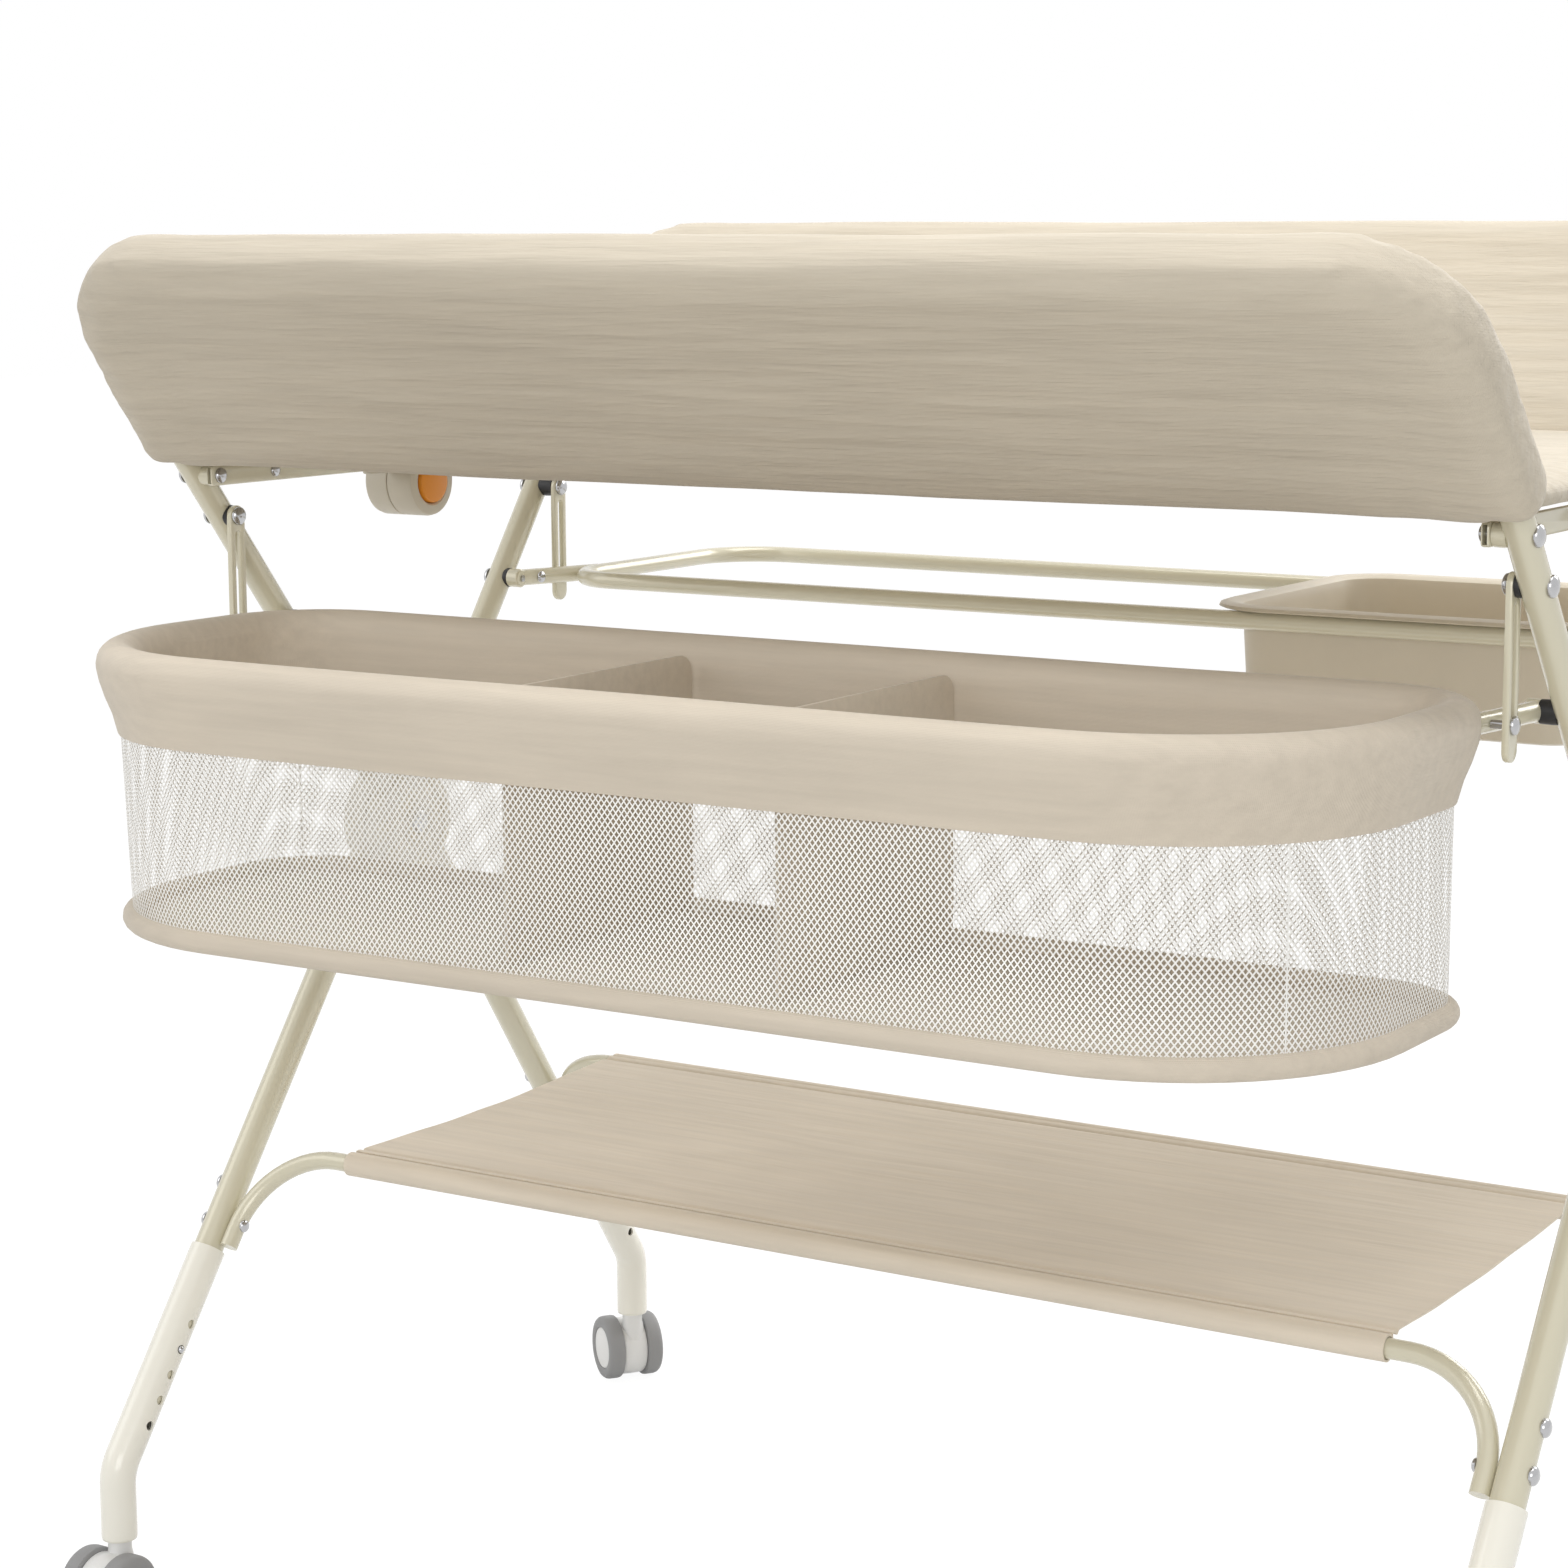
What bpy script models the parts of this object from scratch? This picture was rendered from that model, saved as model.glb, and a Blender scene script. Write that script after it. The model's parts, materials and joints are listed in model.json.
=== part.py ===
# Folding changing table: two crossed tube frames, a padded bed between two guards,
# a front basket, a back rack with a bin, a cloth shelf and four telescoping feet on casters.
# Metres, +Z up, +X to the right end, +Y to the back.

import math

import bmesh
import bpy
from mathutils import Matrix, Vector

# Crossing of the two frames
PIVOT_Y = 0.012
PIVOT_Z = 0.493
FRONT_FRAME_X = 0.452
BACK_FRAME_X = 0.460

# Tilt of each tube from the vertical, in degrees
FRONT_UPPER_TILT = 38.6
FRONT_LOWER_TILT = 34.4
BACK_UPPER_TILT = 35.6
BACK_LOWER_TILT = 36.6

# Distance of each tube's line from the fold axis, positive towards the back
FRONT_UPPER_SHIFT = 0.0010
FRONT_LOWER_SHIFT = 0.0072
BACK_UPPER_SHIFT = 0.0119
BACK_LOWER_SHIFT = -0.0094

# Tubes
UPPER_TUBE_R = 0.0090
LOWER_TUBE_R = 0.0100
TUBE_WALL = 0.0012
TUBE_RESOLUTION = 4
FRONT_HOOP_LENGTH = 0.505
BACK_HOOP_LENGTH = 0.500
HOOP_CORNER_R = 0.063
HOOP_CORNER_STEPS = 5
TUBE_START = 0.042
BACK_LEG_LENGTH = 0.440
FRONT_LEG_LENGTH = 0.452

# Crossing hub
HUB_DISC_R = 0.0370
HUB_INNER_FACE_X = 0.4360
HUB_SPLIT_X = 0.4558
HUB_SPLIT_GAP = 0.0008
HUB_OUTER_FACE_X = 0.4765
HUB_SOCKET_START = 0.0385
HUB_SOCKET_END = 0.0640
HUB_SOCKET_WALL = 0.0024
HUB_NECK_WIDTH = 0.0220
HUB_PIN_R = 0.0060
HUB_PIN_BORE_R = 0.0064
HUB_PIN_HEAD_R = 0.0105
HUB_PIN_HEAD_THICK = 0.0022
SOCKET_FIT = 0.0003

# Running fits
PIN_R = 0.0024
PIN_HOLE_R = 0.0028
RUN_GAP = 0.0005
SEAT_GAP = 0.0003

# Feet
FOOT_TUBE_R = 0.0118
FOOT_BORE_R = 0.0104
FOOT_TOP_Z = 0.2290
FOOT_BEND_Z = 0.1020
FOOT_BOTTOM_Z = 0.0570
FOOT_BEND_R = 0.0300
FOOT_BEND_STEPS = 3
FOOT_PLUG_HEIGHT = 0.0140
HEIGHT_HOLE_R = 0.0030
HEIGHT_HOLE_PITCH = 0.0180
HEIGHT_HOLES_ABOVE = 1
HEIGHT_HOLES_BELOW = 3
SNAP_BUTTON_Z = 0.1720
SNAP_BUTTON_R = 0.0025
SNAP_BUTTON_PROUD = 0.0016
SNAP_BUTTON_TAIL = 0.0060
SNAP_CLIP_LENGTH = 0.0300
SNAP_CLIP_THICK = 0.0010

# Casters
WHEEL_R = 0.0250
WHEEL_WIDTH = 0.0125
WHEEL_BORE_R = 0.0034
WHEEL_CORNER = 0.0030
WHEEL_HUB_R = 0.0165
WHEEL_HUB_DEPTH = 0.0025
AXLE_R = 0.0030
CASTER_TRAIL = 0.0120
CASTER_BODY_R = 0.0225
CASTER_BODY_THICK = 0.0185
CASTER_NECK_R = 0.0075
CASTER_NECK_TOP_Z = 0.0555
CASTER_STEM_R = 0.0040
CASTER_STEM_TOP_Z = 0.0690
CASTER_STEM_BORE_R = 0.0044
AXLE_HEAD_R = 0.0052
AXLE_HEAD_THICK = 0.0010
BRAKE_ROOT = 0.0120
BRAKE_LENGTH = 0.0200
BRAKE_WIDTH = 0.0130
BRAKE_THICK = 0.0030
BRAKE_Z = 0.0350
BRAKE_SLOT_BELOW = 0.0035

# Bottom shelf
SHELF_TUBE_R = 0.0060
SHELF_FRONT_Z = 0.2900
SHELF_BACK_Z = 0.2950
SHELF_END_DROP = 0.0580
SHELF_CORNER_R = 0.0600
SHELF_CORNER_STEPS = 4
SHELF_HALF_LENGTH = 0.3715
SLEEVE_R = 0.0081
SLEEVE_WALL = 0.0015
SHELF_CLOTH_THICK = 0.0016
SHELF_SAG = 0.0050
SHELF_SAG_STEPS = 8

# Guards and bed
GUARD_ROLL_R = 0.0220
GUARD_CHANNEL_R = 0.0095
FRONT_GUARD_HEIGHT = 0.1628
BACK_GUARD_HEIGHT = 0.1578
GUARD_PANEL_THICK = 0.0160
GUARD_PANEL_CROWN = 0.0030
GUARD_PANEL_INSET = 0.0080
GUARD_PANEL_DROP = 0.0052
NOTCH_STEPS = 8
NOTCH_LEAD = 8.0
BED_HALF_LENGTH = 0.4700
BED_UNDER_Z = 0.7622
BED_TOP_Z = 0.7790
BED_EDGE_RISE = 0.0130
BED_CROWN = 0.0060
BED_STEPS = 9

# Folding struts
STRUT_Z = 0.7506
STRUT_HEIGHT = 0.0134
STRUT_THICK = 0.0050
STRUT_END = 0.0078
STRUT_SWING_ROOM = 0.0620
FRONT_STRUT_SWING = 97.4
BACK_STRUT_SWING = 98.8
STRUT_WALL = 0.0012
FRONT_STRUT_X = 0.4320
BACK_STRUT_X = 0.4395
LOCK_Y = 0.0090
LOCK_Z = 0.7344
LOCK_R = 0.0240
LOCK_INNER_X = 0.4160
LOCK_SPLIT_X = 0.4376
LOCK_OUTER_X = 0.4580
LOCK_NECK_LENGTH = 0.0500
LOCK_NECK_WALL = 0.0022
LOCK_FACE_EDGE = 0.0030
LOCK_BUTTON_R = 0.0148
LOCK_BUTTON_WELL = 0.0090
LOCK_BUTTON_PROUD = 0.0020
LOCK_BUTTON_TRAVEL = 0.0040

# Pivots of the carriers on the frames
ARM_X = 0.4230
ARM_R = 0.0065
STAY_X = 0.4300
STAY_THICK = 0.0040
STAY_WIDTH = 0.0160
STAY_SLOT_WIDTH = 0.0060
STAY_SLOT_CLEAR = 0.0095
STAY_TAIL = 0.0210
STAY_NOSE = 0.0080
BOSS_R = 0.0068
HEAD_R = 0.0060
HEAD_THICK = 0.0020
PIN_ROOT = 0.0045
ARM_BACK_END = 0.0155
BASKET_Z = 0.6480
RACK_Z = 0.6540
FRONT_STAY_Y = -0.1650
BACK_STAY_Y = 0.1830

# Basket
RIM_TUBE_R = 0.0060
BASKET_NEAR_Y = -0.1380
BASKET_FAR_Y = -0.3880
BASKET_NEAR_CORNER_R = 0.0600
BASKET_FAR_CORNER_R = 0.1200
BASKET_FLOOR_Z = 0.4880
BASKET_FLOOR_THICK = 0.0045
BASKET_WALL = 0.0022
BASKET_BAND_R = 0.0108
BASKET_BAND_BORE_R = 0.0072
BASKET_BAND_DROP = 0.0300
BASKET_LIP_DROP = 0.0160
BASKET_ARM_CLEAR_R = 0.0076
BASKET_TAPER = 0.0060
BAND_STEPS = 3
BASKET_HEM_R = 0.0055
HEM_STEPS = 3
DIVIDER_SEAM_DEPTH = 0.0015
DIVIDER_X = 0.0920
DIVIDER_THICK = 0.0030
DIVIDER_TOP_Z = 0.6420
DIVIDER_INSET = 0.0010
CORNER_STEPS = 5

# Rack and bin
RACK_NEAR_Y = 0.1600
RACK_FAR_Y = 0.3930
RACK_NEAR_CORNER_R = 0.0350
RACK_FAR_CORNER_R = 0.0500
BIN_X = 0.2350
BIN_HALF_LENGTH = 0.1200
BIN_NEAR_GAP = 0.0040
BIN_WALL = 0.0024
BIN_FLOOR_Z = 0.5780
BIN_DRAFT = 0.0090
BIN_CORNER_R = 0.0300
BIN_LIP_END = 0.0300
BIN_LIP_SIDE = 0.0180
BIN_LIP_THICK = 0.0060
BIN_LIP_EDGE = 0.0030

# Colours
FRAME_OLIVE = (0.58, 0.54, 0.37)
FOOT_CREAM = (0.85, 0.82, 0.72)
SHELL_BEIGE = (0.62, 0.58, 0.50)
FABRIC_BEIGE = (0.62, 0.54, 0.43)
MESH_WHITE = (0.80, 0.78, 0.72)
TYRE_GREY = (0.36, 0.36, 0.37)
CASTER_WHITE = (0.80, 0.80, 0.78)
BUTTON_ORANGE = (0.55, 0.18, 0.03)
STEEL_GREY = (0.60, 0.60, 0.60)

ROUND_SEGMENTS = 20
WHEEL_SEGMENTS = 16
SMALL_SEGMENTS = 10
PIN_SEGMENTS = 8
FINE_TUBE_RESOLUTION = 3
AXIS_X = Vector((1.0, 0.0, 0.0))


def clear_scene():
    for item in list(bpy.data.objects):
        bpy.data.objects.remove(item, do_unlink=True)


def make_collection(name, hidden):
    found = bpy.data.collections.new(name)
    bpy.context.scene.collection.children.link(found)
    found.hide_render = hidden
    return found


def make_material(name, colour, roughness, metallic):
    made = bpy.data.materials.new(name)
    made.use_nodes = True
    shader = made.node_tree.nodes["Principled BSDF"]
    shader.inputs["Base Color"].default_value = (*colour, 1.0)
    shader.inputs["Roughness"].default_value = roughness
    shader.inputs["Metallic"].default_value = metallic
    made.diffuse_color = (*colour, 1.0)
    return made


def make_materials():
    return {
        "frame": make_material("Olive lacquer", FRAME_OLIVE, 0.28, 0.1),
        "foot": make_material("Cream lacquer", FOOT_CREAM, 0.28, 0.0),
        "shell": make_material("Beige plastic", SHELL_BEIGE, 0.45, 0.0),
        "fabric": make_material("Beige fabric", FABRIC_BEIGE, 0.85, 0.0),
        "mesh": make_material("Light fabric", MESH_WHITE, 0.85, 0.0),
        "tyre": make_material("Grey tyre", TYRE_GREY, 0.6, 0.0),
        "caster": make_material("White plastic", CASTER_WHITE, 0.4, 0.0),
        "button": make_material("Orange plastic", BUTTON_ORANGE, 0.35, 0.0),
        "steel": make_material("Steel", STEEL_GREY, 0.3, 1.0),
    }


class Build:
    """Collections, materials and body empties that every piece is made with."""

    def __init__(self):
        self.part = make_collection("Folding changing table", False)
        self.cutters = make_collection("Cutters", True)
        self.materials = make_materials()

    def add(self, name, mesh, material):
        made = bpy.data.objects.new(name, mesh)
        self.part.objects.link(made)
        mesh.materials.clear()
        mesh.materials.append(self.materials[material])
        return made

    def hide(self, item):
        for holder in list(item.users_collection):
            holder.objects.unlink(item)
        self.cutters.objects.link(item)
        item.hide_render = True
        item.display_type = "WIRE"
        return item

    def cutter(self, name, mesh):
        return self.hide(bpy.data.objects.new(name, mesh))


def mesh_from(bm, name, smooth=True):
    bmesh.ops.recalc_face_normals(bm, faces=bm.faces)
    mesh = bpy.data.meshes.new(name)
    bm.to_mesh(mesh)
    bm.free()
    for face in mesh.polygons:
        face.use_smooth = smooth
    return mesh


def frame_direction(tilt, up, back):
    """Unit vector in the side plane, tilted from the vertical."""
    angle = math.radians(tilt)
    return Vector((0.0, math.sin(angle) * (1 if back else -1), math.cos(angle) * (1 if up else -1)))


def leg_line(kind):
    """Start point on the fold axis plane and direction of one of the four tube lines."""
    tilt, shift, up, back = {
        "front_upper": (FRONT_UPPER_TILT, FRONT_UPPER_SHIFT, True, False),
        "front_lower": (FRONT_LOWER_TILT, FRONT_LOWER_SHIFT, False, True),
        "back_upper": (BACK_UPPER_TILT, BACK_UPPER_SHIFT, True, True),
        "back_lower": (BACK_LOWER_TILT, BACK_LOWER_SHIFT, False, False),
    }[kind]
    along = frame_direction(tilt, up, back)
    side = AXIS_X.cross(along)
    if side.y < 0.0:
        side = -side
    return Vector((0.0, PIVOT_Y, PIVOT_Z)) + side * shift, along


def on_leg(kind, x, distance):
    start, along = leg_line(kind)
    point = start + along * distance
    return Vector((x, point.y, point.z))


def at_height(kind, x, z):
    start, along = leg_line(kind)
    return on_leg(kind, x, (z - start.z) / along.z)


def at_depth(kind, x, y):
    start, along = leg_line(kind)
    return on_leg(kind, x, (y - start.y) / along.y)


def rounded_path(points, radius, steps, cyclic=False):
    """The points joined by straights, with each corner turned into an arc."""
    count = len(points)
    radii = radius if isinstance(radius, list) else [radius] * count
    path = []
    for index, corner in enumerate(points):
        if not cyclic and index in (0, count - 1):
            path.append(corner.copy())
            continue
        before = (points[index - 1] - corner).normalized()
        after = (points[(index + 1) % count] - corner).normalized()
        half = before.angle(after) / 2
        reach = radii[index] / math.tan(half)
        centre = corner + (before + after).normalized() * (radii[index] / math.sin(half))
        first = corner + before * reach - centre
        last = corner + after * reach - centre
        axis = first.cross(last).normalized()
        turn = first.angle(last)
        for step in range(steps + 1):
            path.append(centre + Matrix.Rotation(turn * step / steps, 3, axis) @ first)
    return path


def tube_mesh(name, path, radius, cyclic=False, capped=True, resolution=TUBE_RESOLUTION):
    """A round tube along a path, made from a bevelled curve."""
    curve = bpy.data.curves.new(name, "CURVE")
    curve.dimensions = "3D"
    spline = curve.splines.new("POLY")
    spline.points.add(len(path) - 1)
    for point, place in zip(spline.points, path):
        point.co = (*place, 1.0)
    spline.use_cyclic_u = cyclic
    curve.bevel_depth = radius
    curve.bevel_resolution = resolution
    curve.use_fill_caps = capped and not cyclic
    holder = bpy.data.objects.new(name + "_path", curve)
    bpy.context.scene.collection.objects.link(holder)
    bpy.context.view_layer.update()
    seen = holder.evaluated_get(bpy.context.evaluated_depsgraph_get())
    mesh = bpy.data.meshes.new_from_object(seen)
    bpy.data.objects.remove(holder, do_unlink=True)
    bm = bmesh.new()
    bm.from_mesh(mesh)
    bpy.data.meshes.remove(mesh)
    bmesh.ops.remove_doubles(bm, verts=bm.verts, dist=RUN_GAP * 0.01)
    return mesh_from(bm, name)


def hollow(item, wall):
    solid = item.modifiers.new("Tube wall", "SOLIDIFY")
    solid.thickness = wall
    solid.offset = -1.0
    solid.use_even_offset = True
    solid.use_rim = True
    return item


def cylinder_mesh(name, radius, start, end, segments=SMALL_SEGMENTS, end_radius=None):
    """A closed cylinder, or a cone, between two points."""
    axis = end - start
    bm = bmesh.new()
    bmesh.ops.create_cone(
        bm,
        cap_ends=True,
        segments=segments,
        radius1=radius,
        radius2=radius if end_radius is None else end_radius,
        depth=axis.length,
    )
    turn = Vector((0.0, 0.0, 1.0)).rotation_difference(axis.normalized()).to_matrix().to_4x4()
    bmesh.ops.transform(bm, verts=bm.verts, matrix=Matrix.Translation((start + end) / 2) @ turn)
    return mesh_from(bm, name)


def box_mesh(name, low, high):
    bm = bmesh.new()
    bmesh.ops.create_cube(bm, size=1.0)
    size = high - low
    bmesh.ops.scale(bm, verts=bm.verts, vec=size)
    bmesh.ops.translate(bm, verts=bm.verts, vec=(low + high) / 2)
    return mesh_from(bm, name, smooth=False)


def prism_mesh(name, outline, x_low, x_high, smooth=False):
    """An outline of (y, z) points, drawn out along X."""
    bm = bmesh.new()
    low = [bm.verts.new((x_low, y, z)) for y, z in outline]
    high = [bm.verts.new((x_high, y, z)) for y, z in outline]
    bm.faces.new(low)
    bm.faces.new(high)
    for index in range(len(outline)):
        after = (index + 1) % len(outline)
        bm.faces.new((low[index], low[after], high[after], high[index]))
    return mesh_from(bm, name, smooth)


def lathe_mesh(name, profile, axis_start, axis_end, segments, closed):
    """A profile of (radius, share along the axis) points, turned full circle."""
    axis = axis_end - axis_start
    turn = Vector((0.0, 0.0, 1.0)).rotation_difference(axis.normalized()).to_matrix().to_4x4()
    bm = bmesh.new()
    rings = []
    for radius, share in profile:
        ring = []
        for step in range(segments):
            angle = 2 * math.pi * step / segments
            ring.append(bm.verts.new((radius * math.cos(angle), radius * math.sin(angle), share * axis.length)))
        rings.append(ring)
    pairs = list(zip(rings, rings[1:]))
    if closed:
        pairs.append((rings[-1], rings[0]))
    else:
        bm.faces.new(rings[0])
        bm.faces.new(rings[-1])
    for first, second in pairs:
        for step in range(segments):
            after = (step + 1) % segments
            bm.faces.new((first[step], first[after], second[after], second[step]))
    bmesh.ops.transform(bm, verts=bm.verts, matrix=Matrix.Translation(axis_start) @ turn)
    return mesh_from(bm, name)


def boolean(item, other, operation):
    change = item.modifiers.new(operation.title(), "BOOLEAN")
    change.operation = operation
    change.solver = "EXACT"
    change.object = other
    return item


def rounded_rectangle(x_half, y_low, y_high, low_radius, high_radius, steps=CORNER_STEPS):
    """(x, y) points of a rectangle whose low and high corners have their own radii."""
    corners = [
        (x_half, y_low, low_radius, -90.0, -1, 1),
        (x_half, y_high, high_radius, 0.0, -1, -1),
        (-x_half, y_high, high_radius, 90.0, 1, -1),
        (-x_half, y_low, low_radius, 180.0, 1, 1),
    ]
    points = []
    for x, y, radius, start, x_way, y_way in corners:
        for step in range(steps + 1):
            angle = math.radians(start + 90.0 * step / steps)
            points.append(
                (x + x_way * radius + radius * math.cos(angle), y + y_way * radius + radius * math.sin(angle))
            )
    return points


def shell_mesh(name, section, ring_at):
    """Rings of one outline at each (offset, height) of a section; the first and last are closed flat."""
    bm = bmesh.new()
    rings = [[bm.verts.new((x, y, height)) for x, y in ring_at(offset)] for offset, height in section]
    for first, second in zip(rings, rings[1:]):
        for index in range(len(first)):
            after = (index + 1) % len(first)
            bm.faces.new((first[index], first[after], second[after], second[index]))
    bm.faces.new(rings[0])
    bm.faces.new(rings[-1])
    return mesh_from(bm, name)


def arc_points(radius, start, end, steps):
    """(offset, height) points of an arc round the tube's centre, angles in degrees."""
    points = []
    for step in range(steps + 1):
        angle = math.radians(start + (end - start) * step / steps)
        points.append((radius * math.cos(angle), radius * math.sin(angle)))
    return points


def set_origin(item, point):
    item.data.transform(Matrix.Translation(-point))
    item.location = point
    return item


def mirror_x(point, side):
    return Vector((point.x * side, point.y, point.z))


SIDES = (("left", -1), ("right", 1))


def stepped_pin(name, face_x, root, steps, side):
    """A pin along X: (radius, end x) steps from its root in the tube towards the middle."""
    start = root
    profile = []
    length = start.x - steps[-1][1]
    at = start.x
    for radius, end_x in steps:
        profile.append((radius, (start.x - at) / length))
        profile.append((radius, (start.x - end_x) / length))
        at = end_x
    end = Vector((steps[-1][1], root.y, root.z))
    return lathe_mesh(name, profile, mirror_x(start, side), mirror_x(end, side), PIN_SEGMENTS, False)


def pivot_points():
    """Where the strut, the stay and the arm of each frame turn, in the side plane."""
    return {
        "front_strut": at_height("front_upper", 0.0, STRUT_Z),
        "front_stay": at_depth("front_upper", 0.0, FRONT_STAY_Y),
        "front_arm": at_height("front_upper", 0.0, BASKET_Z),
        "back_strut": at_height("back_upper", 0.0, STRUT_Z),
        "back_stay": at_depth("back_upper", 0.0, BACK_STAY_Y),
        "back_arm": at_height("back_upper", 0.0, RACK_Z),
    }


def hoop_path(kind, x, length, start):
    corners = [
        on_leg(kind, -x, start),
        on_leg(kind, -x, length),
        on_leg(kind, x, length),
        on_leg(kind, x, start),
    ]
    return rounded_path(corners, HOOP_CORNER_R, HOOP_CORNER_STEPS)


def make_hoop(build, name, kind, x, length, pins):
    path = hoop_path(kind, x, length, TUBE_START)
    hoop = build.add(name, tube_mesh(name, path, UPPER_TUBE_R, capped=False), "frame")
    hollow(hoop, TUBE_WALL)
    for label, point, steps in pins:
        for side_name, side in SIDES:
            root = Vector((x - UPPER_TUBE_R + PIN_ROOT, point.y, point.z))
            pin = stepped_pin(f"{name}_{label}_{side_name}", x, root, steps, side)
            boolean(hoop, build.cutter(f"{name}_{label}_{side_name}_shape", pin), "UNION")
    return hoop


def make_hoops(build):
    at = pivot_points()
    front_pins = [
        ("strut_pin", at["front_strut"], pin_steps(FRONT_STRUT_X + STRUT_THICK, FRONT_STRUT_X)),
        ("stay_pin", at["front_stay"], pin_steps(STAY_X + STAY_THICK, STAY_X)),
        ("arm_pin", at["front_arm"], pin_steps(ARM_X + ARM_R, ARM_X - ARM_R)),
    ]
    back_pins = [
        ("strut_pin", at["back_strut"], pin_steps(BACK_STRUT_X + STRUT_THICK, BACK_STRUT_X)),
        ("stay_pin", at["back_stay"], pin_steps(STAY_X + STAY_THICK, STAY_X)),
        ("arm_pin", at["back_arm"], pin_steps(ARM_X + ARM_R, ARM_X - ARM_R)),
    ]
    make_hoop(build, "front_hoop", "front_upper", FRONT_FRAME_X, FRONT_HOOP_LENGTH, front_pins)
    make_hoop(build, "back_hoop", "back_upper", BACK_FRAME_X, BACK_HOOP_LENGTH, back_pins)


def pin_steps(outer_x, inner_x):
    """Boss up to the piece's outer face, pin through the piece, head on its inner face."""
    head_start = inner_x - RUN_GAP
    return [
        (BOSS_R, outer_x + RUN_GAP),
        (PIN_R, head_start),
        (HEAD_R, head_start - HEAD_THICK),
    ]


def make_legs(build):
    pairs = (
        ("back", "front_lower", FRONT_FRAME_X, BACK_LEG_LENGTH),
        ("front", "back_lower", BACK_FRAME_X, FRONT_LEG_LENGTH),
    )
    for place, kind, x, length in pairs:
        for side_name, side in SIDES:
            name = f"leg_{place}_{side_name}"
            path = [on_leg(kind, x * side, TUBE_START), on_leg(kind, x * side, length)]
            leg = build.add(name, tube_mesh(name, path, LOWER_TUBE_R, capped=False), "frame")
            hollow(leg, TUBE_WALL)
            button = at_height(kind, x * side, SNAP_BUTTON_Z)
            hole_end = button - AXIS_X * side * LOWER_TUBE_R * 1.5
            hole = cylinder_mesh(name + "_hole", HEIGHT_HOLE_R, button, hole_end)
            boolean(leg, build.cutter(name + "_hole", hole), "DIFFERENCE")


def hub_half(build, name, kinds, x, low_x, high_x, side):
    """Disc, two necks and two tube sockets of one half of the crossing hub."""
    centre = Vector((0.0, PIVOT_Y, PIVOT_Z))
    low = mirror_x(centre + AXIS_X * low_x, side)
    high = mirror_x(centre + AXIS_X * high_x, side)
    half = build.add(name, cylinder_mesh(name, HUB_DISC_R, low, high, ROUND_SEGMENTS), "shell")
    for kind, tube_r in kinds:
        start, along = leg_line(kind)
        outer_r = tube_r + HUB_SOCKET_WALL
        neck_low = max(low_x + HUB_SPLIT_GAP, x - outer_r)
        neck_high = min(high_x - HUB_SPLIT_GAP, x + outer_r)
        across = AXIS_X.cross(along).normalized() * (HUB_NECK_WIDTH / 2)
        base = start.copy()
        far = start + along * (HUB_SOCKET_START + HUB_SOCKET_WALL)
        outline = [
            (point.y, point.z) for point in (base + across, far + across, far - across, base - across)
        ]
        ends = sorted((neck_low * side, neck_high * side))
        neck = prism_mesh(f"{name}_{kind}_neck", outline, ends[0], ends[1])
        boolean(half, build.cutter(f"{name}_{kind}_neck", neck), "UNION")
        socket = cylinder_mesh(
            f"{name}_{kind}_socket",
            outer_r,
            on_leg(kind, x * side, HUB_SOCKET_START),
            on_leg(kind, x * side, HUB_SOCKET_END),
            SMALL_SEGMENTS + SMALL_SEGMENTS // 3,
        )
        boolean(half, build.cutter(f"{name}_{kind}_socket", socket), "UNION")
        bore = tube_mesh(
            f"{name}_{kind}_bore",
            [
                on_leg(kind, x * side, TUBE_START - SOCKET_FIT),
                on_leg(kind, x * side, HUB_SOCKET_END + HUB_SOCKET_WALL),
            ],
            tube_r + SOCKET_FIT,
        )
        boolean(half, build.cutter(f"{name}_{kind}_bore", bore), "DIFFERENCE")
    return half


def make_hubs(build):
    centre = Vector((0.0, PIVOT_Y, PIVOT_Z))
    for side_name, side in SIDES:
        inner_kinds = (("front_upper", UPPER_TUBE_R), ("front_lower", LOWER_TUBE_R))
        outer_kinds = (("back_upper", UPPER_TUBE_R), ("back_lower", LOWER_TUBE_R))
        inner = hub_half(
            build, f"hub_inner_{side_name}", inner_kinds, FRONT_FRAME_X, HUB_INNER_FACE_X, HUB_SPLIT_X, side
        )
        outer_low = HUB_SPLIT_X + HUB_SPLIT_GAP
        outer = hub_half(
            build, f"hub_outer_{side_name}", outer_kinds, BACK_FRAME_X, outer_low, HUB_OUTER_FACE_X, side
        )
        head_start = HUB_OUTER_FACE_X + RUN_GAP
        pin_root = HUB_INNER_FACE_X + HUB_PIN_HEAD_THICK
        length = head_start + HUB_PIN_HEAD_THICK - pin_root
        profile = [
            (HUB_PIN_R, 0.0),
            (HUB_PIN_R, (head_start - pin_root) / length),
            (HUB_PIN_HEAD_R, (head_start - pin_root) / length),
            (HUB_PIN_HEAD_R, 1.0),
        ]
        start = mirror_x(centre + AXIS_X * pin_root, side)
        end = mirror_x(centre + AXIS_X * (pin_root + length), side)
        pin = lathe_mesh(f"fold_pin_{side_name}", profile, start, end, SMALL_SEGMENTS, False)
        boolean(inner, build.cutter(f"fold_pin_{side_name}_shape", pin), "UNION")
        bore_start = mirror_x(centre + AXIS_X * HUB_SPLIT_X, side)
        bore_end = mirror_x(centre + AXIS_X * head_start, side)
        bore = cylinder_mesh(f"fold_bore_{side_name}", HUB_PIN_BORE_R, bore_start, bore_end)
        boolean(outer, build.cutter(f"fold_bore_{side_name}_shape", bore), "DIFFERENCE")


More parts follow.
